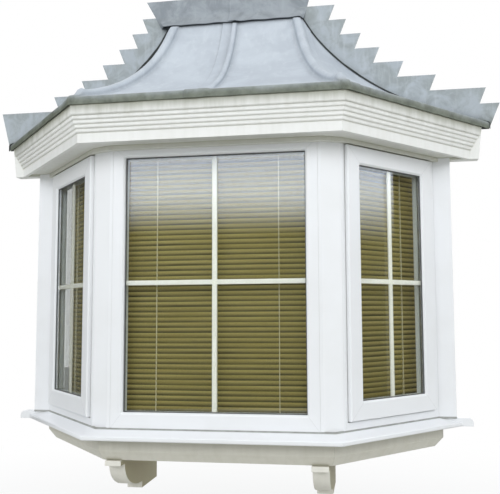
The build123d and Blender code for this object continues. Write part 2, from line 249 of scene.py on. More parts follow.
@dataclass(frozen=True)
class Upvc:
    """White uPVC, extruded and welded: clean and softly glossy, with a faint film of dust in patches, and
    dust with painted shade in the joints.
    """

    name: str = "white_upvc_extruded"
    roughness: float = 0.3
    ior: float = 1.53
    white: str = "#EFF1F4"
    dust_and_shade: str = "#C9C8BE"
    patch_mm: float = 140.0
    film: Ramp = Ramp(0.45, 0.75, 0.0, 0.08)
    # Dust with painted shade: darker where the surface is occluded, in joints and corners
    joint_mm: float = 7.0
    joint_dust_and_shade: Ramp = Ramp(0.25, 0.75, 0.55, 0.0)
    ripple_mm: float = 45.0
    ripple: Relief = Relief(0.06, 0.6)

    def make(self) -> Material:
        """Build the material.

        Returns:
            The material, with its pattern linked.
        """
        material, tree, shader = new_surface(self.name, self.roughness, self.ior)
        place = add_node(tree, "TexCoord", out="Object")
        patches = {"Vector": place, "Scale": per_metre(self.patch_mm), "Detail": 4.0}
        patch = add_node(tree, "TexNoise", patches)
        # Painted shade with dust: ambient occlusion darkens the joints
        joint = add_node(tree, "AmbientOcclusion", {"Distance": self.joint_mm * MM}, "AO", samples=6)
        dust_and_shade = add_node(tree, "MapRange", (joint, *self.joint_dust_and_shade))
        film = add_node(tree, "MapRange", (patch, *self.film))
        dusty_and_shaded = add_node(tree, "Math", (dust_and_shade, film), operation="MAXIMUM")
        ripples = {"Vector": place, "Scale": per_metre(self.ripple_mm), "Detail": 1.0}
        height = add_node(tree, "TexNoise", ripples)
        dress_shader(shader, self.white, [(dusty_and_shaded, self.dust_and_shade)], height, self.ripple)
        return material


@dataclass(frozen=True)
class WeatheredTrim:
    """Off-white painted trim: satin, with rain streaks and green grime under the drip, and painted shade in
    its joints, its sheltered parts and, where set, its sideways faces.
    """

    name: str = "painted_trim_weathered"
    roughness: float = 0.46
    paint: str = "#ECEDEB"
    streak_and_joint_shade: str = "#CFCFC6"
    grime: str = "#7E8068"
    shelter_shade: str = "#949260"
    # Painted shade on faces turned sideways
    cheek_shade: str = "#857F4A"
    streak_width_mm: float = 34.0
    streak_length_mm: float = 260.0
    rain: Ramp = Ramp(0.42, 0.78, 0.0, 0.25)
    # Painted shade in the joints and between the reeds, laid on in the streak colour
    joint_mm: float = 10.0
    joint_shade: Ramp = Ramp(0.2, 0.8, 0.5, 0.0)
    # Painted shade, olive, under and behind things where little light reaches
    shelter_mm: float = 170.0
    shelter_range: Pair = (0.3, 0.85)
    shelter_shade_share: float = 0.45
    cheek_range: Pair = (0.7, 0.95)
    cheek_shade_share: float = 0.0
    grime_top_mm: float = 1412.0
    grime_depth_mm: float = 72.0
    grime_share: float = 0.85
    ragged_mm: float = 30.0
    # Finer on the real paint: drawn as coarse as it needs to show
    brush_mm: float = 6.0
    brushed: Relief = Relief(0.1, 0.5)

    def make(self) -> Material:
        """Build the material.

        Returns:
            The material, with its pattern linked.
        """
        material, tree, shader = new_surface(self.name, self.roughness)
        place = add_node(tree, "TexCoord", out="Object")
        wide, tall = per_metre(self.streak_width_mm), per_metre(self.streak_length_mm)
        drawn = add_node(tree, "Mapping", {"Vector": place, "Scale": (wide, wide, tall)})
        streaks = {"Vector": drawn, "Scale": 1.0, "Detail": 4.0, "Roughness": 0.6}
        rain = add_node(tree, "TexNoise", streaks)
        rained = add_node(tree, "MapRange", (rain, *self.rain))
        # Painted shade: ambient occlusion darkens the joints; rain streaks share its colour
        joint = add_node(tree, "AmbientOcclusion", {"Distance": self.joint_mm * MM}, "AO", samples=6)
        joint_shaded = add_node(tree, "MapRange", (joint, *self.joint_shade))
        streaked_and_shaded = add_node(tree, "Math", (rained, joint_shaded), operation="MAXIMUM")
        # Painted shade: wide-reaching occlusion darkens soffits and sheltered faces
        shelter = add_node(tree, "AmbientOcclusion", {"Distance": self.shelter_mm * MM}, "AO", samples=6)
        shelter_shaded = add_node(tree, "MapRange", (shelter, *self.shelter_range, self.shelter_shade_share, 0.0))
        coats = [(streaked_and_shaded, self.streak_and_joint_shade), (shelter_shaded, self.shelter_shade)]
        # Painted shade: faces that turn along x grow darker and olive
        if self.cheek_shade_share:
            facing = add_node(tree, "NewGeometry", out="Normal")
            turned = add_node(tree, "SeparateXYZ", (facing,), "X")
            sideways = add_node(tree, "Math", (turned,), operation="ABSOLUTE")
            cheek_shade = add_node(tree, "MapRange", (sideways, *self.cheek_range, 0.0, self.cheek_shade_share))
            coats.append((cheek_shade, self.cheek_shade))
        level = add_node(tree, "SeparateXYZ", (place,), "Z")
        ragged = add_node(tree, "Math", (rain, self.ragged_mm * MM, level), operation="MULTIPLY_ADD")
        top = self.grime_top_mm * MM
        rise = (ragged, top - self.grime_depth_mm * MM, top, 0.0, self.grime_share)
        green = add_node(tree, "MapRange", rise, interpolation_type="SMOOTHSTEP")
        coats.append((green, self.grime))
        strokes = {"Vector": place, "Scale": per_metre(self.brush_mm), "Detail": 2.0}
        dress_shader(shader, self.paint, coats, add_node(tree, "TexNoise", strokes), self.brushed)
        return material


@dataclass(frozen=True)
class LeadPatina:
    """Milled lead sheet, dressed by hand: chalky blue-grey bloom, dirt and painted shade in the creases,
    algae on the drip.
    """

    name: str = "lead_sheet_weathered"
    roughness: float = 0.55
    metallic: float = 0.12
    pale: str = "#C1C9D1"
    dull: str = "#B5BDC6"
    bloom: str = "#D0D7DD"
    crease: str = "#4C5257"
    algae: str = "#6C7262"
    moss: str = "#4C5240"
    blotch_mm: float = 150.0
    mottle: Ramp = Ramp(0.35, 0.65)
    dulling: Ramp = Ramp(0.3, 0.7, 0.46, 0.66)
    streak_width_mm: float = 28.0
    streak_length_mm: float = 420.0
    wash: Ramp = Ramp(0.52, 0.78, 0.0, 0.5)
    # Dirt and painted shade: occlusion darkens the creases and the feet of the rolls
    crease_mm: float = 30.0
    creasing: Ramp = Ramp(0.35, 0.95, 0.9, 0.0)
    moss_mm: float = 48.0
    mossing: Ramp = Ramp(0.38, 0.66)
    # Levels between which the growth on the drip fades out, with its ragged edge added
    growth_low_mm: float = 1414.0
    growth_high_mm: float = 1480.0
    growth_share: float = 0.95
    ragged_mm: float = 50.0
    # Finer on the real sheet: drawn as coarse as it needs to show
    grit_mm: float = 5.0
    gritty: Relief = Relief(0.12, 0.8)

    def make(self) -> Material:
        """Build the material.

        Returns:
            The material, with its pattern linked.
        """
        material, tree, shader = new_surface(self.name, self.roughness, metallic=self.metallic)
        place = add_node(tree, "TexCoord", out="Object")
        spots = {"Vector": place, "Scale": per_metre(self.blotch_mm)}
        blotch = add_node(tree, "TexNoise", {**spots, "Detail": 5.0, "Roughness": 0.62, "Distortion": 0.6})
        mottled = add_node(tree, "MapRange", (blotch, *self.mottle), interpolation_type="SMOOTHSTEP")
        wide, tall = per_metre(self.streak_width_mm), per_metre(self.streak_length_mm)
        drawn = add_node(tree, "Mapping", {"Vector": place, "Scale": (wide, wide, tall)})
        streaks = {"Vector": drawn, "Scale": 1.0, "Detail": 4.0, "Roughness": 0.6}
        washed = add_node(tree, "MapRange", (add_node(tree, "TexNoise", streaks), *self.wash))
        # Dirt and painted shade in the creases, from ambient occlusion
        hollow = add_node(tree, "AmbientOcclusion", {"Distance": self.crease_mm * MM}, "AO", samples=8)
        creased_and_shaded = add_node(tree, "MapRange", (hollow, *self.creasing))
        level = add_node(tree, "SeparateXYZ", (place,), "Z")
        ragged = add_node(tree, "Math", (blotch, self.ragged_mm * MM, level), operation="MULTIPLY_ADD")
        fade = (ragged, self.growth_low_mm * MM, self.growth_high_mm * MM, self.growth_share, 0.0)
        grown = add_node(tree, "MapRange", fade, interpolation_type="SMOOTHSTEP")
        tufts = {"Vector": place, "Scale": per_metre(self.moss_mm), "Detail": 4.0, "Roughness": 0.65}
        mossed = add_node(tree, "MapRange", (add_node(tree, "TexNoise", tufts), *self.mossing))
        greens = {FACTOR: mossed, FIRST: self.algae, SECOND: self.moss}
        growth = add_node(tree, "Mix", greens, MIXED, data_type="RGBA")
        rough = add_node(tree, "MapRange", (blotch, *self.dulling))
        tree.links.new(rough, shader.inputs["Roughness"])
        grit = {"Vector": place, "Scale": per_metre(self.grit_mm), "Detail": 3.0}
        coats = [(mottled, self.pale), (washed, self.bloom), (grown, growth), (creased_and_shaded, self.crease)]
        dress_shader(shader, self.dull, coats, add_node(tree, "TexNoise", grit), self.gritty)
        return material


@dataclass(frozen=True)
class ClearGlass:
    """Float glass: clear, faintly green, mirror smooth. Lamp light passes straight through it."""

    name: str = "float_glass_clear"
    ior: float = 1.52
    tint: str = "#FBFDFC"

    def make(self) -> Material:
        """Build the material.

        Returns:
            The material, with its pattern linked.
        """
        material, tree, shader = new_surface(self.name, roughness=0.0, ior=self.ior)
        shader.inputs["Base Color"].default_value = linear(self.tint)
        shader.inputs["Transmission Weight"].default_value = 1.0
        clear = add_node(tree, "BsdfTransparent", {"Color": self.tint})
        shadow = add_node(tree, "LightPath", out="Is Shadow Ray")
        both = add_node(tree, "MixShader", (shadow, shader.outputs[0], clear))
        tree.links.new(both, tree.nodes["Material Output"].inputs["Surface"])
        return material


@dataclass(frozen=True)
class SawnSoftwood:
    """Sawn softwood: pale growth rings drawn out along the board, rough to the touch."""

    name: str = "softwood_sawn"
    roughness: float = 0.72
    early: str = "#C9A877"
    late: str = "#A67F4E"
    joint: str = "#4A3820"
    ring_mm: float = 11.0
    length_mm: float = 420.0
    rings: Ramp = Ramp(0.35, 0.68)
    board_mm: float = 0.0
    gap_mm: float = 3.0
    sawn: Relief = Relief(0.25, 0.8)

    def make(self) -> Material:
        """Build the material.

        Returns:
            The material, with its pattern linked.
        """
        material, tree, shader = new_surface(self.name, self.roughness)
        place = add_node(tree, "TexCoord", out="Object")
        wide, tall = per_metre(self.ring_mm), per_metre(self.length_mm)
        drawn = add_node(tree, "Mapping", {"Vector": place, "Scale": (tall, wide, wide)})
        grain = add_node(tree, "TexNoise", {"Vector": drawn, "Scale": 1.0, "Detail": 5.0, "Distortion": 0.8})
        coats = [(add_node(tree, "MapRange", (grain, *self.rings)), self.late)]
        if self.board_mm:
            level = add_node(tree, "SeparateXYZ", (place,), "Z")
            counted = add_node(tree, "Math", (level, per_metre(self.board_mm)), operation="MULTIPLY")
            within = add_node(tree, "Math", (counted,), operation="FRACT")
            gap = add_node(tree, "Math", (within, self.gap_mm / self.board_mm), operation="LESS_THAN")
            coats.append((gap, self.joint))
        dress_shader(shader, self.early, coats, grain, self.sawn)
        return material


@dataclass(frozen=True)
class PlainCoat:
    """Thin even coat on a small part: one colour that wavers a little, with its own gloss."""

    name: str
    light: str
    dark: str
    roughness: float
    ior: float = 1.5
    metallic: float = 0.0
    patch_mm: float = 40.0
    waver: Ramp = Ramp(0.35, 0.65)

    def make(self) -> Material:
        """Build the material.

        Returns:
            The material, with its pattern linked.
        """
        material, tree, shader = new_surface(self.name, self.roughness, self.ior, self.metallic)
        place = add_node(tree, "TexCoord", out="Object")
        patches = {"Vector": place, "Scale": per_metre(self.patch_mm), "Detail": 4.0}
        share = add_node(tree, "MapRange", (add_node(tree, "TexNoise", patches), *self.waver))
        dress_shader(shader, self.dark, [(share, self.light)])
        return material


@dataclass(frozen=True)
class SlatEnamel:
    """Roller-coated aluminium slats: olive enamel with a low sheen, and painted shade low on each slat where
    it passes behind the next.
    """

    name: str = "slat_enamel_olive"
    roughness: float = 0.45
    light: str = "#DCC87E"
    dark: str = "#C8B46A"
    crevice_shade: str = "#302708"
    patch_mm: float = 320.0
    waver: Ramp = Ramp(0.35, 0.65)
    overlap_mm: float = 24.0
    shaded: Ramp = Ramp(0.5, 0.97, 0.95, 0.0)
    # Painted shade in bands one slat pitch apart from the foot, darkest low on each slat and uneven along it
    pitch_mm: float = 21.5
    foot_mm: float = 102.8
    shade_bands: Ramp = Ramp(0.15, 0.85, 1.0, 0.0)
    uneven: Ramp = Ramp(0.3, 0.7, 0.55, 0.95)

    def make(self) -> Material:
        """Build the material.

        Returns:
            The material, with its pattern linked.
        """
        material, tree, shader = new_surface(self.name, self.roughness)
        place = add_node(tree, "TexCoord", out="Object")
        wide, tall = per_metre(self.patch_mm), per_metre(self.pitch_mm)
        drawn = add_node(tree, "Mapping", {"Vector": place, "Scale": (wide, wide, tall)})
        patch = add_node(tree, "TexNoise", {"Vector": drawn, "Scale": 1.0, "Detail": 2.0})
        share = add_node(tree, "MapRange", (patch, *self.waver))
        level = add_node(tree, "SeparateXYZ", (place,), "Z")
        # Painted shade: a band low on each slat, worked out from its level
        above = add_node(tree, "Math", (level, self.foot_mm * MM), operation="SUBTRACT")
        counted = add_node(tree, "Math", (above, tall), operation="MULTIPLY")
        within = add_node(tree, "Math", (counted,), operation="FRACT")
        shade_bands = add_node(tree, "MapRange", (within, *self.shade_bands), interpolation_type="SMOOTHSTEP")
        uneven = add_node(tree, "MapRange", (patch, *self.uneven))
        dust_and_shade = add_node(tree, "Math", (shade_bands, uneven), operation="MULTIPLY")
        # Painted shade where the slats overlap
        reach = {"Distance": self.overlap_mm * MM}
        overlap = add_node(tree, "AmbientOcclusion", reach, "AO", samples=6, only_local=True)
        shade = add_node(tree, "MapRange", (overlap, *self.shaded))
        crevice_shade = add_node(tree, "Math", (shade, dust_and_shade), operation="MAXIMUM")
        dress_shader(shader, self.dark, [(share, self.light), (crevice_shade, self.crevice_shade)])
        return material


def made(finish: Finish) -> Material:
    """Field that holds a finish's material, made with the set of finishes."""
    return field(default_factory=finish.make)


# Olive painted shade for the sheltered parts of the lower mouldings and the corbels
SHELTER_SHADE_OLIVE = "#827C60"
# Darker, yellower copy of the trim paint: painted shade for the mouldings under the sill
LOW_TRIM_SHADED = WeatheredTrim(
    "painted_trim_low_shaded", paint="#DEDCD2", streak_and_joint_shade="#B9B6A4", shelter_shade=SHELTER_SHADE_OLIVE, shelter_shade_share=0.5
)
GRIMED_SHADED = WeatheredTrim(
    "painted_corbel_grimed_shaded",
    paint="#ECEAE2",
    streak_and_joint_shade="#CBC8BA",
    shelter_shade=SHELTER_SHADE_OLIVE,
    shelter_shade_share=0.4,
    cheek_shade_share=0.75,
)
# Darker copy of the lead: painted shade on the upright apron
SHADED_APRON_LEAD = LeadPatina(
    "lead_flashing_weathered_shaded",
    pale="#99A0A6",
    dull="#7D8489",
    bloom="#AEB5BA",
    blotch_mm=110.0,
    streak_length_mm=180.0,
)
STEP_LEAD = LeadPatina(
    "lead_steps_weathered",
    pale="#A8B0B6",
    dull="#8F9696",
    bloom="#BCC3C9",
    blotch_mm=95.0,
    # Dirt and painted shade reach far up from the joint with the roof
    crease_mm=60.0,
    streak_length_mm=180.0,
)


@dataclass
class Finishes:
    """Every finish of the bay, made once."""

    upvc: Material = made(Upvc())
    trim: Material = made(WeatheredTrim())
    # Paint on the lower mouldings: a darker, yellower copy of the trim, with stronger painted shade where
    # sheltered
    low_trim: Material = made(LOW_TRIM_SHADED)
    # Paint on the corbels: clean in front, olive painted shade on the cheeks and where sheltered, with rain
    # streaks
    corbel: Material = made(GRIMED_SHADED)
    lead: Material = made(LeadPatina())
    # Lead of the apron: a darker copy of the slopes' lead, painted shade for the upright sheet
    flashing: Material = made(SHADED_APRON_LEAD)
    # Lead of the steps: mottled, with dirt and painted shade reaching wide from the creases
    steps: Material = made(STEP_LEAD)
    # Painted shadow in a joint: a matt, nearly black strip
    joint_shade: Material = made(PlainCoat("joint_shadow_strip", "#3C3F3E", "#2B2E2D", 0.9))
    glass: Material = made(ClearGlass())
    softwood: Material = made(SawnSoftwood())
    boards: Material = made(SawnSoftwood("softwood_boards_sawn", board_mm=78.0))
    # Scraped weld: a fine greyer line on the white
    weld: Material = made(PlainCoat("upvc_weld_seam", "#D6D8DA", "#CBCDCF", 0.4, 1.53))
    # Silicone: a soft grey line, dusty, and dark enough to stand also for painted shade in the joint under
    # the frames
    sealant: Material = made(PlainCoat("silicone_sealant_dusty_shaded", "#A5A7A4", "#8F918C", 0.5, 1.41))
    # Enamelled bars: creamy and smooth behind the glass
    bar: Material = made(PlainCoat("bar_enamel_cream", "#FDFAEE", "#F9F6E8", 0.35))
    # Rubber: a dull dark line round the glass
    gasket: Material = made(PlainCoat("rubber_gasket", "#5A5C5C", "#494B4B", 0.6, 1.52))
    # Mill-finish aluminium: a grey metal glint between the panes
    spacer: Material = made(PlainCoat("aluminium_spacer_mill", "#B9BBBC", "#A5A7A8", 0.4, 1.5, 1.0))
    slat: Material = made(SlatEnamel())
    # Woven polyester: matt cream threads
    cord: Material = made(PlainCoat("ladder_cord_woven", "#FBF2D2", "#EFE4BF", 0.8))


def new_piece(name: str, mesh: Mesh, sharp_turn: float = CRISP_TURN) -> Object:
    """Shade a mesh smooth between its crisp edges, and put it in the scene.

    Args:
        name: Name of the piece.
        mesh: Its mesh.
        sharp_turn: Edges that turn by more than this many degrees stay crisp.

    Returns:
        The new object.
    """
    mesh.polygons.foreach_set("use_smooth", [True] * len(mesh.polygons))
    mesh.set_sharp_from_angle(angle=radians(sharp_turn))
    piece = bpy.data.objects.new(name, mesh)
    bpy.context.scene.collection.objects.link(piece)
    return piece


def mesh_piece(
    name: str, points: Sequence[Point], faces: Sequence[Sequence[int]], sharp_turn: float = CRISP_TURN
) -> Object:
    """Make a mesh object from points in millimetres, with its normals facing out.

    Args:
        name: Name of the piece.
        points: Corners of the mesh.
        faces: Corner numbers of each face.
        sharp_turn: Edges that turn by more than this many degrees stay crisp.

    Returns:
        The new object.
    """
    mesh = bpy.data.meshes.new(name)
    mesh.from_pydata([(x * MM, y * MM, z * MM) for x, y, z in points], [], faces)
    shape = bmesh.new()
    shape.from_mesh(mesh)
    bmesh.ops.recalc_face_normals(shape, faces=shape.faces)
    shape.to_mesh(mesh)
    shape.free()
    return new_piece(name, mesh, sharp_turn)


def joined(name: str, parts: Sequence[Object]) -> Object:
    """Put several loose meshes into one object.

    Args:
        name: Name of the piece.
        parts: Objects to join; they are used up.

    Returns:
        The joined object.
    """
    shape = bmesh.new()
    for part in parts:
        shape.from_mesh(part.data)
        bpy.data.objects.remove(part)
    mesh = bpy.data.meshes.new(name)
    shape.to_mesh(mesh)
    shape.free()
    return new_piece(name, mesh)


def keep(piece: Object, material: Material, slot: Slot, *nodes: str) -> None:
    """Give a new piece its finish, and tie it to the frame.

    Args:
        piece: The finished piece.
        material: Its finish.
        slot: The record's slot for that finish; not used.
        nodes: CAD nodes that it stands for.
    """
    piece.data.materials.append(material)
    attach(piece, BODY)
    if nodes:
        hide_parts(*nodes)
    LOG.info("%s: %d faces", piece.name, len(piece.data.polygons))


def dress_node(name: str, material: Material, edge_mm: float) -> None:
    """Give a CAD node its finish and soften its edges.

    Args:
        name: Name of the node.
        material: Its finish.
        edge_mm: Width of the rounding along each sharp edge.
    """
    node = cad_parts[name]
    node.data.materials.clear()
    node.data.materials.append(material)
    weld = node.modifiers.new("weld", "WELD")
    weld.merge_threshold = WELD_GAP * MM
    flat = node.modifiers.new("flat", "DECIMATE")
    flat.decimate_type = "DISSOLVE"
    flat.angle_limit = radians(FLAT_TURN)
    soft = node.modifiers.new("soft", "BEVEL")
    soft.width = edge_mm * MM
    soft.segments = 2
    soft.limit_method = "ANGLE"
    soft.angle_limit = radians(EDGE_TURN)
    soft.harden_normals = True
    LOG.info("%s: CAD node dressed", name)


def shell(name: str, rows: Sequence[Sequence[Point]], thickness: float, side: Side) -> Object:
    """Close a grid of points into a thin sheet.

    Args:
        name: Name of the piece.
        rows: Points of the outer face, row by row, with its right hand along each row.
        thickness: Thickness of the sheet, taken off the back.
        side: Hand of the piece; a left one is mirrored.

    Returns:
        The new object.
    """
    down, across = len(rows), len(rows[0])
    outer = [Vector(p) for row in rows for p in row]
    inner = []
    for i in range(down):
        for j in range(across):
            above, below = outer[max(i - 1, 0) * across + j], outer[min(i + 1, down - 1) * across + j]
            left, right = outer[i * across + max(j - 1, 0)], outer[i * across + min(j + 1, across - 1)]
            normal = (below - above).cross(right - left).normalized()
            inner.append(outer[i * across + j] - normal * thickness)
    points = [(p.x * side.value, p.y, p.z) for p in outer + inner]
    back = down * across
    faces = []
    for i in range(down - 1):
        for j in range(across - 1):
            a = i * across + j
            quad = (a, a + across, a + across + 1, a + 1)
            faces += [quad, tuple(back + k for k in reversed(quad))]
    ring = list(range(across))
    ring += [i * across + across - 1 for i in range(1, down)]
    ring += [(down - 1) * across + j for j in range(across - 2, -1, -1)]
    ring += [i * across for i in range(down - 2, 0, -1)]
    faces += [(a, b, back + b, back + a) for a, b in zip(ring, ring[1:] + ring[:1])]
    return mesh_piece(name, points, faces)


def stacked(name: str, loops: Sequence[Sequence[Point]], caps: Sequence[Sequence[int]]) -> Object:
    """Join loops of points into a skin.

    Args:
        name: Name of the piece.
        loops: Loops with as many points each, in order.
        caps: Faces that close the first loop, by its own numbers; the last is closed alike. With none,
            the last loop joins the first.

    Returns:
        The new object.
    """
    count = len(loops[0])
    points = [p for loop in loops for p in loop]
    faces = []
    for i in range(len(loops) - 1 if caps else len(loops)):
        here, there = i * count, (i + 1) % len(loops) * count
        for j in range(count):
            k = (j + 1) % count
            faces.append((here + j, here + k, there + k, there + j))
    last = (len(loops) - 1) * count
    faces += [tuple(reversed(cap)) for cap in caps]
    faces += [tuple(last + j for j in cap) for cap in caps]
    return mesh_piece(name, points, faces)


@dataclass(frozen=True)
class Plan:
    """Line of the window faces on plan, in millimetres."""

    front_length: float = 971.0
    projection: float = 475.0
    side_turn: float = 45.0
    corner_ease: float = 20.0

    def contour(self, offset: float, along: float) -> Pair:
        """Plan point on the line pushed out by offset.

        Args:
            offset: Distance out of the window faces.
            along: Distance past the right corner, negative along the front.

        Returns:
            The point's x and y, with the corner itself eased.
        """
        turn = radians(self.side_turn)
        x = self.front_length / 2 + offset * tan(turn / 2)
        y = -self.projection - offset
        ease = self.corner_ease
        if along <= -ease:
            return (x + along, y)
        if along >= ease:
            return (x + along * cos(turn), y + along * sin(turn))
        share = (along + ease) / (2 * ease)
        before, after = (1 - share) ** 2 * ease, share**2 * ease
        return (x - before + after * cos(turn), y + after * sin(turn))

    def outward(self, along: float, width: float) -> Pair:
        """Direction out of the faces, turning gently across a corner.

        Args:
            along: Distance past the right corner.
            width: Distance each side of it over which the direction turns.

        Returns:
            A unit direction on plan.
        """
        angle = radians(self.side_turn) * smooth(-width, width, along)
        return (sin(angle), -cos(angle))


class Station(NamedTuple):
    """One level of the roof's sweep: where it is, which way it faces and how far up it lies."""

    offset: float
    level: float
    out: float
    up: float
    climb: float


@dataclass(frozen=True)
class Sweep:
    """Bell-cast curve of the roof, from under the apron to the foot of the drip, in millimetres."""

    reach: float = 157.0
    top_gap: float = 22.0
    sag: float = 100.0
    drip: float = 31.0
    bend: float = 9.0
    bend_rows: int = 5
    drip_rows: int = 5
    projection: float = Plan.projection
    top: float = field(default_factory=lambda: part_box("lead_front_right")[1].z / MM)
    foot: float = field(default_factory=lambda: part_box("lead_front_right")[0].z / MM)

    def stations(self, slope_rows: int) -> list[Station]:
        """Levels of the sweep from top to foot.

        Args:
            slope_rows: Rows on the curved slope, above those of the bend and the drip.

        Returns:
            The stations, in order.
        """
        eaves = self.foot + self.drip
        run, rise = self.reach + self.projection - self.top_gap, self.top - eaves
        chord = hypot(run, rise)
        radius = chord**2 / (8 * self.sag) + self.sag / 2
        centre_out = self.reach - run / 2 + (radius - self.sag) * rise / chord
        centre_up = eaves + rise / 2 + (radius - self.sag) * run / chord
        steep = asin((centre_out - self.reach + run) / radius)
        shallow = asin((centre_out - self.reach) / radius)
        tangent = self.bend * tan((pi / 2 - shallow) / 2)
        start = shallow + tangent / radius
        found = []
        for slope in spread(steep, start, slope_rows):
            out, up = sin(slope), cos(slope)
            climb = (slope - start) * radius
            found.append(Station(centre_out - radius * out, centre_up - radius * up, out, up, climb))
        hub_out, hub_up = self.reach - self.bend, eaves - tangent
        for slope in spread(shallow, pi / 2, self.bend_rows + 1)[1:]:
            out, up = sin(slope), cos(slope)
            climb = -(slope - shallow) * self.bend
            found.append(Station(hub_out + self.bend * out, hub_up + self.bend * up, out, up, climb))
        for level in spread(hub_up, self.foot, self.drip_rows + 1)[1:]:
            climb = found[-1].climb - (found[-1].level - level)
            found.append(Station(self.reach, level, 1.0, 0.0, climb))
        return found


@dataclass(frozen=True)
class RollSection:
    """Lead dressed round a wooden roll: upright sides with a small hollow at each foot, flat at the eaves."""

    core: float
    hollow: float
    foot_share: float
    drip_share: float
    drip_start: float
    full_start: float
    full_end: float
    drip_end: float = 4.0
    hollow_rows: int = 4
    core_rows: int = 11

    @property
    def half(self) -> float:
        """Distance from the middle of the roll to its foot."""
        return self.core + self.hollow

    def share(self, climb: float) -> float:
        """How much of the roll stands at one level.

        Args:
            climb: Distance up from the eaves.

        Returns:
            Its share of the full height.
        """
        low = self.foot_share + self.drip_share * smooth(self.drip_start, self.drip_end, climb)
        full = 1 - self.foot_share - self.drip_share
        return low + full * smooth(self.full_start, self.full_end, climb)

    def points(self, share: float, spread_out: float) -> list[Pair]:
        """Section across the roll.

        Args:
            share: How much of its height stands here.
            spread_out: How much wider than the full roll it is here.

        Returns:
            Places across the roll with their heights, from foot to foot.
        """
        foot = []
        for turn in spread(0, pi / 2, self.hollow_rows):
            foot.append((-self.half + self.hollow * sin(turn), self.hollow * (1 - cos(turn))))
        crown = []
        for turn in spread(0, pi, self.core_rows)[1:-1]:
            crown.append((-self.core * cos(turn), self.hollow + self.core * sin(turn)))
        whole = foot + crown + [(-place, height) for place, height in reversed(foot)]
        return [(place * spread_out, height * share) for place, height in whole]


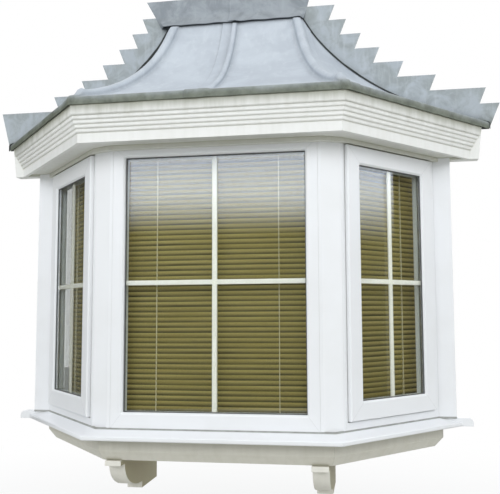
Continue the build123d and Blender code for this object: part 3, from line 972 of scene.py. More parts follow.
@dataclass
class LeadRoof:
    """Swept lead roof: two front sheets, two side sheets, and the rolls dressed over their joints."""

    finishes: Finishes
    plan: Plan = field(default_factory=Plan)
    sweep: Sweep = field(default_factory=Sweep)
    centre: RollSection = RollSection(12.0, 7.0, 0.08, 0.14, -24.0, 10.0, 210.0)
    hip: RollSection = RollSection(19.0, 11.0, 0.12, 0.16, -28.0, 8.0, 62.0)
    # How much wider than the full roll the centre roll is where it lies flat
    flat_spread: float = 0.9
    sheet: float = 2.6
    lap: float = 3.0
    under_lap: float = 4.0
    splash: float = 42.0
    dent: float = 0.8
    dent_size: float = 210.0
    dent_lift: float = 1.3
    fine_dent: float = 0.45
    fine_times: float = 3.1
    hem_wave: float = 2.0
    hem_size: float = 70.0
    hem_start: float = -8.0
    hem_end: float = -30.0
    wall_gap: float = 4.3
    closed_share: float = 0.1
    closed_start: float = 13.0
    closed_end: float = 46.0
    boss_height: float = 9.0
    boss_climb: float = 50.0
    boss_spread: float = 17.0
    slope_rows: int = 60
    lap_rows: int = 6
    flat_rows: int = 24
    side_rows: int = 30

    def dressing(self, x: float, y: float, z: float) -> float:
        """Soft dents left by the dressing tools, always outward.

        Args:
            x: Place across the bay.
            y: Place toward the wall.
            z: Level.

        Returns:
            Height of the sheet over its boarding.
        """
        near = Vector((x, y, z)) / self.dent_size
        broad = noise.noise(near) + self.fine_dent * noise.noise(near * self.fine_times)
        return self.dent * (self.dent_lift + broad)

    def top_share(self, level: float) -> float:
        """How much of a roll stands near its top end, closed down under the apron."""
        down = self.sweep.top - level
        return self.closed_share + (1 - self.closed_share) * smooth(self.closed_start, self.closed_end, down)

    def hem(self, x: float, y: float, station: Station) -> float:
        """Unevenness of the drip's lower edge, nothing above the bend."""
        wave = noise.noise(Vector((x, y, 0.0)) / self.hem_size) * self.hem_wave
        return wave * smooth(self.hem_start, self.hem_end, station.climb)

    def point(self, station: Station, along: float, height: float, turn_width: float) -> Point:
        """Point on a sheet.

        Args:
            station: Level of the sweep.
            along: Distance past the right hip, negative along the front.
            height: Height over the bare sheet.
            turn_width: Distance each side of the hip over which the sheet turns.

        Returns:
            The point, in millimetres.
        """
        x, y = self.plan.contour(station.offset, along)
        out_x, out_y = self.plan.outward(along, turn_width)
        height += self.dressing(x, y, station.level)
        return (
            x + out_x * station.out * height,
            min(y + out_y * station.out * height, -self.wall_gap),
            station.level + station.up * height + self.hem(x, y, station),
        )

    def side_length(self, station: Station) -> float:
        """Length of the side slope at this level, from the hip to the wall."""
        depth = self.plan.projection + station.offset - self.wall_gap
        return depth / sin(radians(self.plan.side_turn))

    def front_places(self, station: Station, over_centre: bool) -> list[Pair]:
        """Places across a front sheet, with the height of its rolls and laps.

        Args:
            station: Level of the sweep.
            over_centre: Whether the sheet goes over the centre roll.

        Returns:
            Distances past the right hip with their heights, from the centre outward.
        """
        ease = self.plan.corner_ease
        corner = self.plan.contour(station.offset, -ease)[0] + ease
        end = self.top_share(station.level)
        share = self.centre.share(station.climb)
        roll = self.centre.points(share * end, 1 + self.flat_spread - self.flat_spread * share)
        first, last = roll[0][0], roll[-1][0]
        if over_centre:
            under = [(x, self.lap) for x in spread(first - self.splash, first, self.lap_rows)[:-1]]
            lapped = [(x, h + self.lap * smooth(0, first, x)) for x, h in roll]
            places = [(x - corner, h) for x, h in under + lapped]
        else:
            places = [(x - corner, 0.0) for x in spread(-self.under_lap, last, self.lap_rows - 1)]
        hip = self.hip.points(self.hip.share(station.climb) * end, 1.0)
        places += [(along, 0.0) for along in spread(places[-1][0], hip[0][0], self.flat_rows)[1:-1]]
        half, skirt = self.hip.half, self.hip.half + self.splash
        boss = self.boss_height * exp(-(((station.climb - self.boss_climb) / self.boss_spread) ** 2))
        for along, height in hip:
            bossed = boss * cos(along / half * pi / 2)
            places.append((along, height + bossed + self.lap * smooth(0, half, along)))
        places += [(along, self.lap) for along in spread(half, skirt, self.lap_rows)[1:]]
        squeeze = min(1.0, self.side_length(station) / skirt)
        return [(along * squeeze if along > 0 else along, height) for along, height in places]

    def front_sheet(self, side: Side, over_centre: bool) -> Object:
        """One half of the front slope, with the hip roll on its outer edge.

        Args:
            side: Hand of the sheet.
            over_centre: Whether it goes over the centre roll.

        Returns:
            The piece.
        """
        rows = []
        for station in self.sweep.stations(self.slope_rows):
            places = self.front_places(station, over_centre)
            rows.append([self.point(station, along, height, self.hip.half) for along, height in places])
        return shell(f"lead_front_{side.word}_dressed", rows, self.sheet, side)

    def side_sheet(self, side: Side) -> Object:
        """Side slope, from under the hip roll to the wall.

        Args:
            side: Hand of the sheet.

        Returns:
            The piece.
        """
        ease = self.plan.corner_ease
        rows = []
        for station in self.sweep.stations(self.slope_rows):
            length = self.side_length(station)
            places = spread(min(ease, length / 2), length, self.side_rows)
            rows.append([self.point(station, along, 0.0, ease) for along in places])
        return shell(f"lead_side_{side.word}_dressed", rows, self.sheet, side)

    def build(self) -> None:
        """Make the four sheets."""
        lead = self.finishes.lead
        right = self.front_sheet(Side.RIGHT, True)
        keep(right, lead, Slot.LEAD, "lead_front_right", "centre_roll", "hip_roll_right")
        left = self.front_sheet(Side.LEFT, False)
        keep(left, lead, Slot.LEAD, "lead_front_left", "hip_roll_left")
        for side in Side:
            keep(self.side_sheet(side), lead, Slot.LEAD, f"lead_side_{side.word}")


@dataclass
class Flashings:
    """Lead on the wall over the roof: an apron in two lapped lengths, and a stepped flashing each side."""

    finishes: Finishes
    plan: Plan = field(default_factory=Plan)
    sheet: float = 3.0
    # Half length of the apron at its hem, and how much farther out its top runs
    left_end: Pair = (378.0, 82.0)
    right_end: Pair = (333.0, 40.0)
    wall_gap: float = 1.0
    skirt_out: float = 40.0
    skirt_rise: float = 60.0
    skirt_curve: float = 1.5
    lap: float = 34.0
    lap_lift: float = 3.2
    lap_fade: float = 0.35
    roll_lift: float = 8.0
    roll_spread: float = 20.0
    hip_lift: float = 3.0
    hip_spread: float = 24.0
    hip_place: float = 305.0
    end_dressed: float = 16.0
    end_share: float = 0.2
    ripple: float = 1.4
    ripple_size: float = 120.0
    ripple_start: float = 0.3
    hem_wave: float = 2.5
    hem_size: float = 60.0
    hem_start: float = 0.85
    apron_rows: int = 26
    apron_columns: int = 60
    grid: float = 21.0
    grid_edge: float = 6.0
    plate: float = 3.2
    step_ripple_size: float = 130.0
    behind_apron: float = 60.0
    apron_tip: float = 382.0
    # Painted shadow strips in the joints: width on each side, how far out, and how they widen and waver
    right_joint: float = 6.5
    left_joint: float = 17.0
    joint_out: float = 6.6
    joint_rows: int = 40
    joint_rise: Pair = (20.0, 170.0)
    joint_foot: float = 0.35
    joint_ragged: float = 0.35

    @staticmethod
    def waver(x: float, z: float, size: float, pattern: Pattern) -> float:
        """Smooth unevenness of a sheet, from -1 to 1.

        Args:
            x: Place across the bay.
            z: Level.
            size: Size of one wave.
            pattern: Which of the patterns to take.

        Returns:
            The unevenness there.
        """
        return noise.noise(Vector((x / size, z / size, pattern.value)))

    def apron_point(self, side: Side, x_share: float, share: float) -> Point:
        """Point on the apron; its right length laps over the left one.

        Args:
            side: Hand of the length.
            x_share: Place from the inner end, 0, to the outer end, 1.
            share: Place from the top edge, 0, to the hem, 1.

        Returns:
            The point, in millimetres.
        """
        low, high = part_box("apron_flashing")
        top, bottom = high.z / MM, low.z / MM
        level = top + (bottom - top) * share
        over = side is Side.RIGHT
        half, splay = self.right_end if over else self.left_end
        inner, outer = -self.lap if over else -self.lap / 2, half + splay * (1 - share)
        x = inner + (outer - inner) * x_share
        lift = self.lap_lift * (1 - smooth(0.0, self.lap_fade, x_share)) if over else 0.0
        kick = max(bottom + self.skirt_rise - level, 0.0) / self.skirt_rise
        end = self.end_share + (1 - self.end_share) * smooth(outer, outer - self.end_dressed, x)
        eased = kick**self.skirt_curve * end
        over_roll = self.roll_lift * exp(-((x / self.roll_spread) ** 2))
        over_roll += self.hip_lift * exp(-(((abs(x) - self.hip_place) / self.hip_spread) ** 2))
        flat = self.sheet + self.wall_gap
        rippled = self.ripple * (1 + self.waver(x, level, self.ripple_size, Pattern.APRON))
        out = flat + lift + (self.skirt_out - flat) * eased + over_roll * eased
        out += rippled * smooth(0, self.ripple_start, share)
        wave = self.hem_wave * self.waver(x, 0.0, self.hem_size, Pattern.HEM)
        wave *= smooth(self.hem_start, 1.0, share)
        return (x, -out, level + wave)

    def apron(self, side: Side) -> Object:
        """One length of the apron.

        Args:
            side: Hand of the length.

        Returns:
            The piece.
        """
        places = spread(0, 1, self.apron_columns)
        rows = []
        for share in spread(0, 1, self.apron_rows):
            rows.append([self.apron_point(side, x_share, share) for x_share in places])
        return shell(f"apron_{side.word}_dressed", rows, self.sheet, side)

    def blank(self, node: str) -> Mesh:
        """Flat sheet, a little larger than a stepped flashing.

        Args:
            node: The flashing's CAD node.

        Returns:
            A mesh in a fine grid, so that it can be dressed.
        """
        low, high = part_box(node)
        edge = self.grid_edge * MM
        wide, tall = high.x - low.x, high.z - low.z
        across, upward = (max(int(size / MM / self.grid), 2) for size in (wide, tall))
        slab = bmesh.new()
        bmesh.ops.create_grid(slab, x_segments=across, y_segments=upward, size=0.5)
        for corner in slab.verts:
            x = low.x - edge + (wide + 2 * edge) * (corner.co.x + 0.5)
            z = low.z - edge + (tall + 2 * edge) * (corner.co.y + 0.5)
            corner.co = (x, 0.0, z)
        for part in bmesh.ops.extrude_face_region(slab, geom=slab.faces[:])["geom"]:
            if isinstance(part, bmesh.types.BMVert):
                part.co.y -= self.plate * MM
        bmesh.ops.recalc_face_normals(slab, faces=slab.faces)
        sheet = bpy.data.meshes.new(f"{node}_blank")
        slab.to_mesh(sheet)
        slab.free()
        return sheet

    def outline(self, node: str, side: Side) -> Mesh:
        """Closed solid with a stepped flashing's outline, carried on behind the apron.

        Args:
            node: The flashing's CAD node.
            side: Hand of the flashing.

        Returns:
            A mesh that goes right through the sheet.
        """
        edge = self.grid_edge * MM
        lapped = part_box(node)[1].z - self.behind_apron / 2 * MM
        cutter = bmesh.new()
        cutter.from_mesh(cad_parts[node].data)
        bmesh.ops.remove_doubles(cutter, verts=cutter.verts, dist=WELD_GAP * MM)
        for corner in cutter.verts:
            corner.co.y = edge if corner.co.y > -self.plate / 2 * MM else -2 * edge
            if corner.co.z > lapped and abs(corner.co.x) < self.apron_tip * MM:
                corner.co.x -= self.behind_apron * MM * side.value
        bmesh.ops.recalc_face_normals(cutter, faces=cutter.faces)
        tool = bpy.data.meshes.new(f"{node}_outline")
        cutter.to_mesh(tool)
        cutter.free()
        return tool

    @staticmethod
    def trimmed(blank: Mesh, outline: Mesh) -> Mesh:
        """Cut a blank sheet to an outline.

        Args:
            blank: The sheet.
            outline: A closed solid through the sheet.

        Returns:
            What of the sheet lies within the outline.
        """
        sheet = bpy.data.objects.new("blank", blank)
        cutter = bpy.data.objects.new("outline", outline)
        for part in (sheet, cutter):
            bpy.context.scene.collection.objects.link(part)
        cut = sheet.modifiers.new("cut", "BOOLEAN")
        cut.operation = "INTERSECT"
        cut.solver = "EXACT"
        cut.object = cutter
        mesh = bpy.data.meshes.new_from_object(sheet.evaluated_get(bpy.context.evaluated_depsgraph_get()))
        for part in (sheet, cutter):
            bpy.data.objects.remove(part)
        return mesh

    def steps(self, side: Side) -> Object:
        """Stepped flashing, cut from one sheet and dressed to the wall.

        Args:
            side: Hand of the flashing.

        Returns:
            The piece.
        """
        node = f"step_flashing_{side.word}"
        cut = self.trimmed(self.blank(node), self.outline(node, side))
        for corner in cut.vertices:
            x, y, z = corner.co / MM
            if y < -self.plate / 2:
                y -= self.ripple * (1 + self.waver(x, z, self.step_ripple_size, Pattern.STEPS))
            corner.co.y = y * MM
        return new_piece(f"{node}_dressed", cut)

    def joint(self, side: Side) -> Object:
        """Nearly black strip in the joint where the side slope and the drip meet the wall: a painted shadow
        for the gap there.

        Args:
            side: Hand of the joint.

        Returns:
            The piece.
        """
        turn = radians(self.plan.side_turn)
        stations = Sweep().stations(self.joint_rows)
        line = []
        for station in stations:
            corner = self.plan.front_length / 2 + station.offset * tan(turn / 2)
            line.append((corner + (self.plan.projection + station.offset) / tan(turn), station.level))
        full = self.left_joint if side is Side.LEFT else self.right_joint
        rows = []
        for i, (x, z) in enumerate(line):
            before, after = line[max(i - 1, 0)], line[min(i + 1, len(line) - 1)]
            run, fall = after[0] - before[0], before[1] - after[1]
            opened = self.joint_foot + (1 - self.joint_foot) * smooth(*self.joint_rise, stations[i].climb)
            ragged = 1 + self.joint_ragged * self.waver(x, z, self.hem_size, Pattern.JOINT)
            share = full * opened * ragged / hypot(run, fall)
            rows.append([(x, -self.joint_out, z), (x + fall * share, -self.joint_out, z + run * share)])
        return shell(f"roof_joint_{side.word}", rows, self.sheet, side)

    def build(self) -> None:
        """Make the apron's two lengths, both stepped flashings and the painted shadow strips in the joints
        under them.
        """
        for side in reversed(Side):
            keep(self.apron(side), self.finishes.flashing, Slot.LEAD, "apron_flashing")
        for side in Side:
            keep(self.steps(side), self.finishes.steps, Slot.LEAD, f"step_flashing_{side.word}")
            # Painted shadow strip in the joint under the flashing
            keep(self.joint(side), self.finishes.joint_shade, Slot.LEAD)


@dataclass(frozen=True)
class Face:
    """Plane of a window: where it starts, which way it runs and which way is out."""

    start: Pair
    along: Pair
    out: Pair

    def point(self, run: float, level: float, out: float) -> Point:
        """Place a point on the face.

        Args:
            run: Distance along the face.
            level: Level.
            out: Distance out of the face.

        Returns:
            The point, in millimetres.
        """
        x, y = (self.start[i] + self.along[i] * run + self.out[i] * out for i in (0, 1))
        return (x, y, level)

    def loop(self, flat: Sequence[Pair], out: float) -> list[Point]:
        """Points with these runs and levels, all at one distance out of the face."""
        return [self.point(run, level, out) for run, level in flat]


def front_face(plan: Plan) -> Face:
    """Front window's plane, from the centre."""
    return Face((0.0, -plan.projection), (1.0, 0.0), (0.0, -1.0))


def side_face(plan: Plan, side: Side) -> Face:
    """A side window's plane, from its corner with the front.

    Args:
        plan: Line of the window faces.
        side: Hand of the window.

    Returns:
        The plane.
    """
    turn, hand = radians(plan.side_turn), side.value
    corner = (hand * plan.front_length / 2, -plan.projection)
    return Face(corner, (hand * cos(turn), sin(turn)), (hand * sin(turn), -cos(turn)))


class Opening(NamedTuple):
    """Edges of an opening in a window's face, by run and level."""

    left: float
    bottom: float
    right: float
    top: float

    def corners(self, inset: float = 0.0) -> list[Pair]:
        """Corners of the opening, from the lower left one round.

        Args:
            inset: How far they are drawn in.

        Returns:
            Their runs and levels.
        """
        left, right = self.left + inset, self.right - inset
        bottom, top = self.bottom + inset, self.top - inset
        return [(left, bottom), (right, bottom), (right, top), (left, top)]


@dataclass
class SealedUnit:
    """Double-glazed unit in one opening: two panes, a spacer, bars between the panes, and a gasket."""

    finishes: Finishes
    label: str
    node: str
    face: Face
    opening: Opening
    front: float
    bar_level: float
    thick: float = 24.0
    pane: float = 4.0
    cover: float = 12.0
    arris: float = 0.6
    seal: float = 0.2
    spacer_inset: float = 2.0
    spacer_chamfer: float = 1.5
    spacer_edge: float = 0.5
    bar_half: float = 10.0
    bar_thick: float = 8.0
    bar_round: float = 2.0
    bar_tuck: float = 3.0
    bar_rows: int = 4
    # Bead's section: how far into the opening, and how far out of the glass
    bead: tuple[Pair, ...] = ((-1.5, 0.1), (-1.5, 2.4), (0.0, 3.0), (2.4, 2.6), (4.0, 0.9), (4.0, 0.1))
    # Corners of a cross, as steps along and up
    cross: tuple[tuple[int, int], ...] = (
        (1, 0), (2, 0), (2, 1), (3, 1), (3, 2), (2, 2), (2, 3), (1, 3), (1, 2), (0, 2), (0, 1), (1, 1)
    )
    arms: tuple[tuple[int, ...], ...] = (
        (0, 1, 2, 11), (2, 3, 4, 5), (5, 6, 7, 8), (8, 9, 10, 11), (2, 5, 8, 11)
    )

    def rings(self, section: Sequence[Pair]) -> list[list[Point]]:
        """Carry a section round the opening.

        Args:
            section: Inset and distance out of the face of each of its points.

        Returns:
            The four corners that each of them makes.
        """
        return [self.face.loop(self.opening.corners(inset), out) for inset, out in section]

    def glass(self) -> Object:
        """The two panes, each with its edges arrissed.

        Returns:
            The piece.
        """
        panes = []
        edge = self.arris - self.cover
        for out in (self.front, self.front - self.thick + self.pane):
            back = out - self.pane
            outer, inner = out - self.arris, back + self.arris
            section = ((edge, out), (-self.cover, outer), (-self.cover, inner), (edge, back))
            panes.append(stacked(f"{self.label}_pane", self.rings(section), [(0, 1, 2, 3)]))
        return joined(f"{self.label}_glass_unit", panes)

    def spacer(self) -> Object:
        """Hollow-section spacer between the panes, round the edge of the unit.

        Returns:
            The piece.
        """
        outer = self.front - self.pane - self.seal
        inner = self.front - self.thick + self.pane + self.seal
        hidden, edge = self.spacer_inset - self.cover, self.spacer_edge
        bevel = edge + self.spacer_chamfer
        section = ((hidden, outer), (-bevel, outer), (-edge, outer - bevel))
        section += ((-edge, inner + bevel), (-bevel, inner), (hidden, inner))
        return stacked(f"{self.label}_spacer", self.rings(section), [])

    def gasket(self) -> Object:
        """Rubber bead between the glass and the frame."""
        section = [(inset, self.front + out) for inset, out in self.bead]
        return stacked(f"{self.label}_gasket", self.rings(section), [])

    def bar_outline(self, slim: float, out: float) -> list[Point]:
        """Cross-shaped outline of the bars.

        Args:
            slim: How far the outline is drawn in.
            out: Distance out of the face.

        Returns:
            Its twelve corners.
        """
        half, reach = self.bar_half - slim, self.bar_tuck - slim
        left, bottom, right, top = self.opening
        middle = (left + right) / 2
        runs = (left - reach, middle - half, middle + half, right + reach)
        levels = (bottom - reach, self.bar_level - half, self.bar_level + half, top + reach)
        return self.face.loop([(runs[i], levels[j]) for i, j in self.cross], out)

    def bars(self) -> Object:
        """Crossed bars between the panes, with rounded edges.

        Returns:
            The piece.
        """
        middle, half = self.front - self.thick / 2, self.bar_thick / 2
        loops = []
        for hand, first, last in ((1, 0, pi / 2), (-1, pi / 2, 0)):
            for angle in spread(first, last, self.bar_rows):
                slim, fall = self.bar_round * (1 - sin(angle)), self.bar_round * (1 - cos(angle))
                loops.append(self.bar_outline(slim, middle + hand * (half - fall)))
        return stacked(f"{self.label}_bars", loops, self.arms)

    def build(self) -> None:
        """Make the unit."""
        keep(self.glass(), self.finishes.glass, Slot.GLASS, self.node)
        keep(self.spacer(), self.finishes.spacer, Slot.GLASS)
        keep(self.bars(), self.finishes.bar, Slot.UPVC)
        keep(self.gasket(), self.finishes.gasket, Slot.UPVC)


@dataclass
class WeldSeams:
    """Fine seams where the mitred corners of one welded frame meet."""

    finishes: Finishes
    label: str
    face: Face
    outer: Opening
    inner: Opening
    out: float
    outer_stop: float = 5.0
    inner_stop: float = 8.5
    half: float = 0.7
    height: float = 0.3
    sunk: float = 0.2

    def seam(self, start: Pair, end: Pair) -> Object:
        """One seam, as a low ridge.

        Args:
            start: Run and level of its outer end.
            end: Run and level of its inner end.

        Returns:
            The new object.
        """
        length = hypot(end[0] - start[0], end[1] - start[1])
        ahead = ((end[0] - start[0]) / length, (end[1] - start[1]) / length)
        section = ((-self.half, -self.sunk), (self.half, -self.sunk), (0.0, self.height))
        loops = []
        for base, stop in ((start, self.outer_stop), (end, -self.inner_stop)):
            run, level = base[0] + ahead[0] * stop, base[1] + ahead[1] * stop
            loop = []
            for side, up in section:
                loop.append(self.face.point(run - ahead[1] * side, level + ahead[0] * side, self.out + up))
            loops.append(loop)
        return stacked("seam", loops, [(0, 1, 2)])

    def build(self) -> None:
        """Make the four seams."""
        seams = [self.seam(*ends) for ends in zip(self.outer.corners(), self.inner.corners())]
        keep(joined(f"{self.label}_weld_seams", seams), self.finishes.weld, Slot.UPVC)


@dataclass
class FootSeal:
    """Bead of sealant along the foot of the frames, where they stand on the sill."""

    finishes: Finishes
    plan: Plan
    width: float = 6.0
    height: float = 6.0
    hollow: Pair = (0.35, 0.3)
    sill_fall: float = 0.25
    tuck: float = 1.0

    def line(self) -> list[tuple[Pair, Pair]]:
        """Plan of the right half's foot, from the wall in.

        Returns:
            Its corners, each with its mitred way out.
        """
        low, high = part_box("wall_post_right")
        turn = radians(self.plan.side_turn)
        corner = (self.plan.front_length / 2, -self.plan.projection)
        back = low.y / MM
        inner = (corner[0] + (back - corner[1]) / tan(turn), back)
        mitre = (tan(turn / 2), -1.0)
        return [((high.x / MM, back), (0.0, -1.0)), (inner, mitre), (corner, mitre)]

    def build(self) -> None:
        """Make the bead."""
        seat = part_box("front_frame")[0].z / MM
        section = (
            (-self.tuck, seat - self.tuck),
            (self.width, seat - self.width * self.sill_fall - self.tuck / 2),
            (self.width * self.hollow[0], seat + self.height * self.hollow[1]),
            (-self.tuck, seat + self.height),
        )
        right = self.line()
        left = [((-x, y), (-out_x, out_y)) for (x, y), (out_x, out_y) in reversed(right)]
        loops = []
        for (x, y), (out_x, out_y) in right + left:
            loops.append([(x + out_x * out, y + out_y * out, level) for out, level in section])
        keep(stacked("foot_seal", loops, [(0, 1, 2, 3)]), self.finishes.sealant, Slot.UPVC)


@dataclass
class Windows:
    """Frames, posts and sashes of the three windows, with their sealed units."""

    finishes: Finishes
    plan: Plan = field(default_factory=Plan)
    edge: float = 1.6
    cover: float = 14.0
    front_out: float = -20.0
    sash_out: float = 6.0
    bar_level: float = 676.0
    sash_left: float = 139.0
    sash_right: float = 510.7
    sash_stile: float = 70.0
    sash_rail: float = 75.0
    sash_proud: float = 18.0
    front_frame: Opening = Opening(-427.5, 84.0, 427.5, 1248.0)

    def glaze(self, label: str, node: str, face: Face, opening: Opening, out: float) -> None:
        """Fill one opening with its sealed unit.

        Args:
            label: First part of the pieces' names.
            node: CAD node of the glass.
            face: Plane of the window.
            opening: Edges of the opening.
            out: Distance of the glass out of the face.
        """
        SealedUnit(self.finishes, label, node, face, opening, out, self.bar_level).build()

    def build(self) -> None:
        """Dress the frames and fill each opening."""
        pairs = ("corner_post", "wall_post", "frame", "sash")
        for node in ["front_frame"] + [f"{pair}_{side.word}" for pair in pairs for side in Side]:
            dress_node(node, self.finishes.upvc, self.edge)
        FootSeal(self.finishes, self.plan).build()
        low, high = (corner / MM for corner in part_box("front_glass"))
        face, cover = front_face(self.plan), self.cover
        opening = Opening(low.x + cover, low.z + cover, high.x - cover, high.z - cover)
        self.glaze("front", "front_glass", face, opening, self.front_out)
        WeldSeams(self.finishes, "front_frame", face, self.front_frame, opening, 0.0).build()
        for side in Side:
            low, high = (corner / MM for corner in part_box(f"sash_glass_{side.word}"))
            face, label = side_face(self.plan, side), f"sash_{side.word}"
            left, bottom, right, top = self.sash_left, low.z + cover, self.sash_right, high.z - cover
            opening = Opening(left, bottom, right, top)
            self.glaze(label, f"sash_glass_{side.word}", face, opening, self.sash_out)
            stile, rail = self.sash_stile, self.sash_rail
            outer = Opening(left - stile, bottom - rail, right + stile, top + rail)
            WeldSeams(self.finishes, label, face, outer, opening, self.sash_proud).build()


@dataclass
class VenetianBlind:
    """Slatted blind behind one window: crowned slats on ladder cords, a head rail and a foot rail."""

    finishes: Finishes
    node: str
    face: Face
    start: float
    end: float
    cords: int
    seed: int
    set_back: float = 82.0
    slat_width: float = 24.0
    slat_gauge: float = 0.5
    slat_turn: float = 60.0
    crown: float = 2.6
    pitch: float = 21.5
    tilt: float = 74.0
    tilt_play: float = 1.0
    hang_play: float = 0.25
    sag: float = 0.9
    sag_step: float = 170.0
    sag_turns: float = 2.2
    skin_columns: int = 7
    run_columns: int = 9
    rail_height: float = 38.0
    rail_gap: float = 0.2
    rail_round: float = 2.5
    rail_proud: float = 0.5
    foot_height: float = 12.0
    foot_round: float = 4.5
    round_rows: int = 4
    cord_radius: float = 1.4
    cord_share: float = 0.19
    cord_tuck: float = 2.0
    cord_sides: int = 6
    rung_share: float = 0.6
    rung_drop: float = 1.2
    rung_sides: int = 4

    def __post_init__(self) -> None:
        """Take the blind's foot and top from its node."""
        low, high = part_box(self.node)
        self.foot, self.top = low.z / MM, high.z / MM

    def point(self, run: float, level: float, out: float) -> Point:
        """Point of the blind, out from the middle of its slats."""
        return self.face.point(run, level, out - self.set_back)

    def levels(self) -> list[float]:
        """Levels of the slats, from the foot rail up."""
        foot, top = self.foot + self.foot_height, self.top - self.rail_height
        return [foot + (i + 0.5) * self.pitch for i in range(int((top - foot) / self.pitch))]

    def slats(self) -> Object:
        """All the slats, each hung a little differently.

        Returns:
            The piece.
        """
        draw = Random(self.seed)
        points: list[Point] = []
        faces: list[tuple[int, ...]] = []
        shares = spread(-1, 1, self.skin_columns)
        runs = spread(self.start, self.end, self.run_columns)
        last_run = len(runs) - 1
        for level in self.levels():
            tilt = radians(self.tilt + draw.uniform(-self.tilt_play, self.tilt_play))
            shift = draw.uniform(-self.hang_play, self.hang_play)
            section = []
            for skin, order in ((0.5, shares), (-0.5, shares[::-1])):
                for share in order:
                    flat = share * self.slat_width / 2
                    lift = self.crown * (1 - share * share) + skin * self.slat_gauge
                    section.append((flat * cos(tilt) - lift * sin(tilt), flat * sin(tilt) + lift * cos(tilt)))
            base, count = len(points), len(section)
            for i, run in enumerate(runs):
                bow = self.sag * sin(level / self.sag_step + self.sag_turns * pi * i / last_run)
                points += [self.point(run, level + up + shift + bow, out) for out, up in section]
            for i in range(last_run):
                a, b = base + i * count, base + (i + 1) * count
                for j in range(count):
                    k = (j + 1) % count
                    faces.append((a + j, a + k, b + k, b + j))
            last = base + last_run * count
            for j in range(len(shares) - 1):
                m, n = count - 1 - j, count - 2 - j
                faces.append((base + j, base + m, base + n, base + j + 1))
                faces.append((last + j, last + j + 1, last + n, last + m))
        return mesh_piece(f"{self.node}_slats", points, faces, self.slat_turn)

    @staticmethod
    def rod(start: Point, end: Point, radius: float, sides: int) -> Object:
        """Straight cord between two points.

        Args:
            start: One end.
            end: The other end.
            radius: Half its thickness.
            sides: Number of faces round it.

        Returns:
            The new object.
        """
        axis = (Vector(end) - Vector(start)).normalized()
        first = axis.orthogonal().normalized()
        second = axis.cross(first)
        ring = []
        for i in range(sides):
            angle = 2 * pi * i / sides
            ring.append((first * cos(angle) + second * sin(angle)) * radius)
        loops = [[tuple(Vector(centre) + spoke) for spoke in ring] for centre in (start, end)]
        return stacked("rod", loops, [tuple(range(sides))])

    def ladders(self) -> Object:
        """Ladder cords before and behind the slats, with a rung under each slat.

        Returns:
            The piece.
        """
        foot, top = self.foot + self.cord_tuck, self.top - self.rail_height
        half = self.slat_width / 2 * cos(radians(self.tilt)) + self.cord_radius
        rise = self.slat_width / 2 * sin(radians(self.tilt))
        inset = (self.end - self.start) * self.cord_share
        parts = []
        for run in spread(self.start + inset, self.end - inset, self.cords):
            for out in (half, -half):
                ends = (self.point(run, foot, out), self.point(run, top, out))
                parts.append(self.rod(*ends, self.cord_radius, self.cord_sides))
            for level in self.levels():
                under = level - self.rung_drop
                ends = (self.point(run, under + rise, half), self.point(run, under - rise, -half))
                parts.append(self.rod(*ends, self.cord_radius * self.rung_share, self.rung_sides))
        return joined(f"{self.node}_ladders", parts)

    def rail(self, name: str, low: float, high: float, rounding: float) -> Object:
        """Rail with rounded edges along the blind.

        Args:
            name: Name of the piece.
            low: Its lower level.
            high: Its upper level.
            rounding: Radius of its edges.

        Returns:
            The new object.
        """
        wide = self.slat_width / 2 + self.rail_proud - rounding
        low, high = low + rounding, high - rounding
        loop = []
        for quarter, (hub_out, hub_up) in enumerate(((wide, high), (-wide, high), (-wide, low), (wide, low))):
            for angle in spread(quarter * pi / 2, (quarter + 1) * pi / 2, self.round_rows):
                loop.append((hub_out + rounding * cos(angle), hub_up + rounding * sin(angle)))
        ends = [[self.point(run, up, out) for out, up in loop] for run in (self.start, self.end)]
        return stacked(name, ends, [tuple(range(len(loop)))])

    def build(self) -> None:
        """Make the blind."""
        keep(self.slats(), self.finishes.slat, Slot.BLIND, self.node)
        keep(self.ladders(), self.finishes.cord, Slot.BLIND)
        head = self.rail("head", self.top - self.rail_height, self.top - self.rail_gap, self.rail_round)
        foot = self.rail("foot", self.foot, self.foot + self.foot_height, self.foot_round)
        keep(joined(f"{self.node}_rails", [head, foot]), self.finishes.slat, Slot.BLIND)


@dataclass
class Blinds:
    """The three blinds."""

    finishes: Finishes
    plan: Plan = field(default_factory=Plan)
    front_half: float = 418.5
    front_cords: int = 3
    front_seed: int = 11
    side_start: float = 67.0
    side_end: float = 565.2
    side_cords: int = 2
    side_seed: int = 23

    def build(self) -> None:
        """Make each blind."""
        front = (-self.front_half, self.front_half, self.front_cords, self.front_seed)
        VenetianBlind(self.finishes, "front_blind", front_face(self.plan), *front).build()
        run = (self.side_start, self.side_end, self.side_cords)
        for i, side in enumerate(Side):
            face = side_face(self.plan, side)
            VenetianBlind(self.finishes, f"blind_{side.word}", face, *run, self.side_seed + i).build()


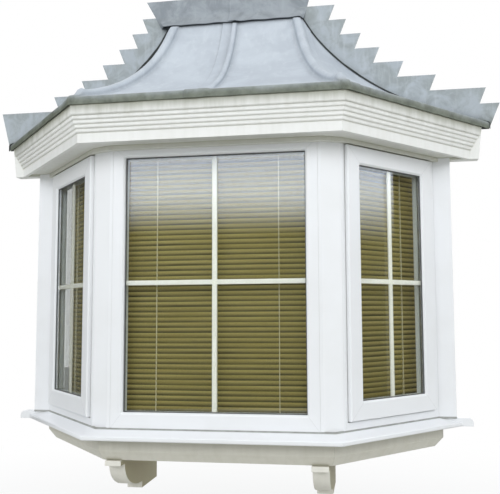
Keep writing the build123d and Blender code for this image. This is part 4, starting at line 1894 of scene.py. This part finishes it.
@dataclass
class Joinery:
    """Mouldings, sill, base and corbels, and the timber inside the roof: CAD nodes with their finishes."""

    finishes: Finishes
    edge: float = 1.2
    corbel_edge: float = 2.0
    timber_edge: float = 1.0

    def dress(self, single: Sequence[str], paired: Sequence[str], material: Material, edge: float) -> None:
        """Dress a group of nodes alike.

        Args:
            single: Nodes that there is one of.
            paired: Nodes that there is one of on each side, without the side's word.
            material: Their finish.
            edge: Rounding along their edges.
        """
        for node in [*single, *(f"{pair}_{side.word}" for pair in paired for side in Side)]:
            dress_node(node, material, edge)

    def build(self) -> None:
        """Dress each node."""
        finishes = self.finishes
        heads = ("cornice_front", "head_trim_front", "head_board")
        self.dress(heads, ("cornice", "cornice_end", "head_trim"), finishes.trim, self.edge)
        self.dress(("base_front",), ("base",), finishes.low_trim, self.edge)
        self.dress((), ("corbel",), finishes.corbel, self.corbel_edge)
        self.dress(("sill_front", "window_board"), ("sill", "sill_end"), finishes.upvc, self.edge)
        self.dress(("base_panel", "rib_centre"), ("rib",), finishes.softwood, self.timber_edge)
        self.dress(("deck_front",), ("deck",), finishes.boards, self.timber_edge)


@dataclass
class Studio:
    """Pale floor, soft lamps, white surround and the camera."""

    floor_level: float = -900.0
    floor_half: float = 14000.0
    floor_colour: str = "#F4F4F2"
    floor_bounce: str = "#C2C2BC"
    # Distance from the bay in metres, and how white the floor is seen there
    floor_fade: Ramp = Ramp(0.8, 5.0, 0.35, 1.0)
    flag_colour: str = "#2E2E29"
    glow_colour: str = "#EDEEEE"
    mirrored_glow: str = "#E2EAFB"
    sky_colour: str = "#F4F7FB"
    sky_strength: float = 0.7
    aim: Point = (0.0, -300.0, 900.0)
    camera_place: Point = (619.7, -2962.3, 541.6)
    camera_yaw: float = 8.43
    camera_pitch: float = 4.57
    camera_roll: float = -0.35
    focal_px: float = 633.9
    centre_px: Pair = (274.27, 263.95)
    photo_px: Pair = (500.0, 494.0)

    @staticmethod
    def sheet(name: str, size: Pair, level: float = 0.0) -> Object:
        """Flat sheet with four corners, which isn't part of the bay.

        Args:
            name: Name of the sheet.
            size: Its width and height.
            level: Its level.

        Returns:
            The new object.
        """
        wide, tall = size[0] / 2, size[1] / 2
        corners = [(-wide, -tall, level), (wide, -tall, level), (wide, tall, level), (-wide, tall, level)]
        sheet = mesh_piece(name, corners, [(0, 1, 2, 3)])
        sheet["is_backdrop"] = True
        return sheet

    def floor(self) -> None:
        """Wide floor of matt paper that fades to white away from the bay."""
        floor = self.sheet("studio_floor", (2 * self.floor_half, 2 * self.floor_half), self.floor_level)
        material, tree, shader = new_surface("studio_floor_paper", roughness=0.9, ior=1.4)
        place = add_node(tree, "TexCoord", out="Object")
        distance = add_node(tree, "VectorMath", (place,), "Value", operation="LENGTH")
        far = add_node(tree, "MapRange", (distance, *self.floor_fade), interpolation_type="SMOOTHSTEP")
        seen = add_node(tree, "LightPath", out="Is Camera Ray")
        dress_shader(shader, self.floor_bounce, [(seen, self.floor_colour)])
        whitened = add_node(tree, "Math", (seen, far), operation="MULTIPLY")
        white = add_node(tree, "Emission", {"Color": WHITE, "Strength": 1.0})
        both = add_node(tree, "MixShader", (whitened, shader.outputs[0], white))
        tree.links.new(both, tree.nodes["Material Output"].inputs["Surface"])
        floor.data.materials.append(material)

    def surround(self) -> None:
        """Even sky light, white where it is seen directly, in gloss or through glass."""
        world = bpy.data.worlds.new("studio")
        bpy.context.scene.world = world
        world.use_nodes = True
        tree = world.node_tree
        light = tree.nodes["Background"]
        light.inputs["Color"].default_value = linear(self.sky_colour)
        light.inputs["Strength"].default_value = self.sky_strength
        white = add_node(tree, "Background", {"Color": WHITE, "Strength": 1.0})
        path = add_node(tree, "LightPath").node.outputs
        gloss = add_node(tree, "Math", (path["Is Camera Ray"], path["Is Glossy Ray"]), operation="MAXIMUM")
        seen = add_node(tree, "Math", (gloss, path["Is Transmission Ray"]), operation="MAXIMUM")
        both = add_node(tree, "MixShader", (seen, light.outputs[0], white))
        tree.links.new(both, tree.nodes["World Output"].inputs["Surface"])

    def lamp(self, name: str, place: Point, size: Pair, watts: float) -> None:
        """Soft rectangular lamp, out of the camera's sight.

        Args:
            name: Name of the lamp.
            place: Where it hangs.
            size: Width and height of its face.
            watts: Its power.
        """
        data = bpy.data.lights.new(name, "AREA")
        data.shape = "RECTANGLE"
        data.size, data.size_y = size[0] * MM, size[1] * MM
        data.energy = watts
        lamp = bpy.data.objects.new(name, data)
        lamp.location = Vector(place) * MM
        lamp.rotation_euler = (Vector(self.aim) - Vector(place)).to_track_quat("-Z", "Y").to_euler()
        lamp.visible_camera = False
        bpy.context.scene.collection.objects.link(lamp)

    def card(self, name: str, place: Point, size: Pair) -> Object:
        """Upright card that faces the bay, out of the camera's sight.

        Args:
            name: Name of the card.
            place: Its middle.
            size: Its width and height.

        Returns:
            The new object.
        """
        card = self.sheet(name, size)
        card.location = Vector(place) * MM
        card.rotation_euler = Vector((-place[0], -place[1], 0.0)).to_track_quat("Z", "Y").to_euler()
        card.visible_camera = card.visible_shadow = False
        return card

    def flag(self, name: str, place: Point, size: Pair) -> None:
        """Dark felt card that keeps glare off the glass, and is seen in reflections only.

        Args:
            name: Name of the card.
            place: Its middle.
            size: Its width and height.
        """
        card = self.card(name, place, size)
        material, _, shader = new_surface("studio_card_felt", roughness=1.0, ior=1.4)
        shader.inputs["Base Color"].default_value = linear(self.flag_colour)
        card.data.materials.append(material)
        card.visible_diffuse = False

    def softbox(self, name: str, place: Point, size: Pair, feather: float, strength: float) -> None:
        """Glowing cloth card, feathered along its lower edge so that the glass shows no hard line.

        Args:
            name: Name of the card.
            place: Its middle.
            size: Its width and height.
            feather: Height over which the lower edge fades in.
            strength: How bright it is.
        """
        card = self.card(name, place, size)
        material, tree, _ = new_surface("studio_softbox_cloth", roughness=1.0, ior=1.4)
        height = add_node(tree, "SeparateXYZ", (add_node(tree, "TexCoord", out="Object"),), "Y")
        foot = -size[1] / 2 * MM
        rise = (height, foot, foot + feather * MM, 0.0, strength)
        fade = add_node(tree, "MapRange", rise, interpolation_type="SMOOTHSTEP")
        path = add_node(tree, "LightPath").node.outputs
        rays = (path["Is Glossy Ray"], path["Is Transmission Ray"])
        mirrored = add_node(tree, "Math", rays, operation="MAXIMUM")
        hues = {FACTOR: mirrored, FIRST: self.glow_colour, SECOND: self.mirrored_glow}
        cloth = add_node(tree, "Mix", hues, MIXED, data_type="RGBA")
        glow = add_node(tree, "Emission", {"Color": cloth, "Strength": fade})
        tree.links.new(glow, tree.nodes["Material Output"].inputs["Surface"])
        card.data.materials.append(material)

    def camera(self) -> None:
        """Camera at the photograph's place, angle and framing."""
        yaw, pitch, roll = (radians(a) for a in (self.camera_yaw, self.camera_pitch, self.camera_roll))
        ahead = Vector((-sin(yaw) * cos(pitch), cos(yaw) * cos(pitch), sin(pitch)))
        level = Vector((cos(yaw), sin(yaw), 0.0))
        upright = level.cross(ahead)
        right = level * cos(roll) + upright * sin(roll)
        upward = right.cross(ahead)
        turn = Matrix((right, upward, -ahead)).transposed()
        data = bpy.data.cameras.new("photo_camera")
        wide, tall = self.photo_px
        data.sensor_fit = "HORIZONTAL"
        data.lens = data.sensor_width * self.focal_px / wide
        data.shift_x = (wide / 2 - self.centre_px[0]) / wide
        data.shift_y = (self.centre_px[1] - tall / 2) / wide
        camera = bpy.data.objects.new("photo_camera", data)
        camera.matrix_world = Matrix.Translation(Vector(self.camera_place) * MM) @ turn.to_4x4()
        bpy.context.scene.collection.objects.link(camera)
        bpy.context.scene.camera = camera

    def build(self) -> None:
        """Set up the studio."""
        bpy.context.scene.view_settings.view_transform = "Standard"
        self.floor()
        self.surround()
        self.softbox("front_softbox", (-1200.0, -7600.0, 4375.0), (14000.0, 5250.0), 800.0, 3.25)
        self.softbox("right_softbox", (6500.0, -2400.0, 3700.0), (5200.0, 4400.0), 1000.0, 2.9)
        self.lamp("top_softbox", (-300.0, -2200.0, 6000.0), (5000.0, 4000.0), 20.0)
        self.lamp("back_softbox", (800.0, 6000.0, 3400.0), (4000.0, 3000.0), 90.0)
        self.flag("front_flag", (-1200.0, -7700.0, 850.0), (11000.0, 3500.0))
        self.flag("right_flag", (8600.0, -200.0, 1250.0), (8000.0, 4300.0))
        self.flag("left_flag", (-5200.0, 2100.0, 1900.0), (5000.0, 5600.0))
        self.camera()


def write_sizes() -> None:
    """Gather the CAD box and the visual model's box into plain lists; nothing is written."""
    boxes = {"cad": cad_box, "visual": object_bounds()}
    plain = {name: [list(corner) for corner in box] for name, box in boxes.items()}


def main() -> None:
    """Build the bay, part by part, then the studio round it."""
    logging.basicConfig(level=logging.INFO, format="%(message)s")
    finishes = Finishes()
    Studio().build()
    LeadRoof(finishes).build()
    Flashings(finishes).build()
    Joinery(finishes).build()
    Windows(finishes).build()
    Blinds(finishes).build()
    write_sizes()


if __name__ == "__main__":
    main()
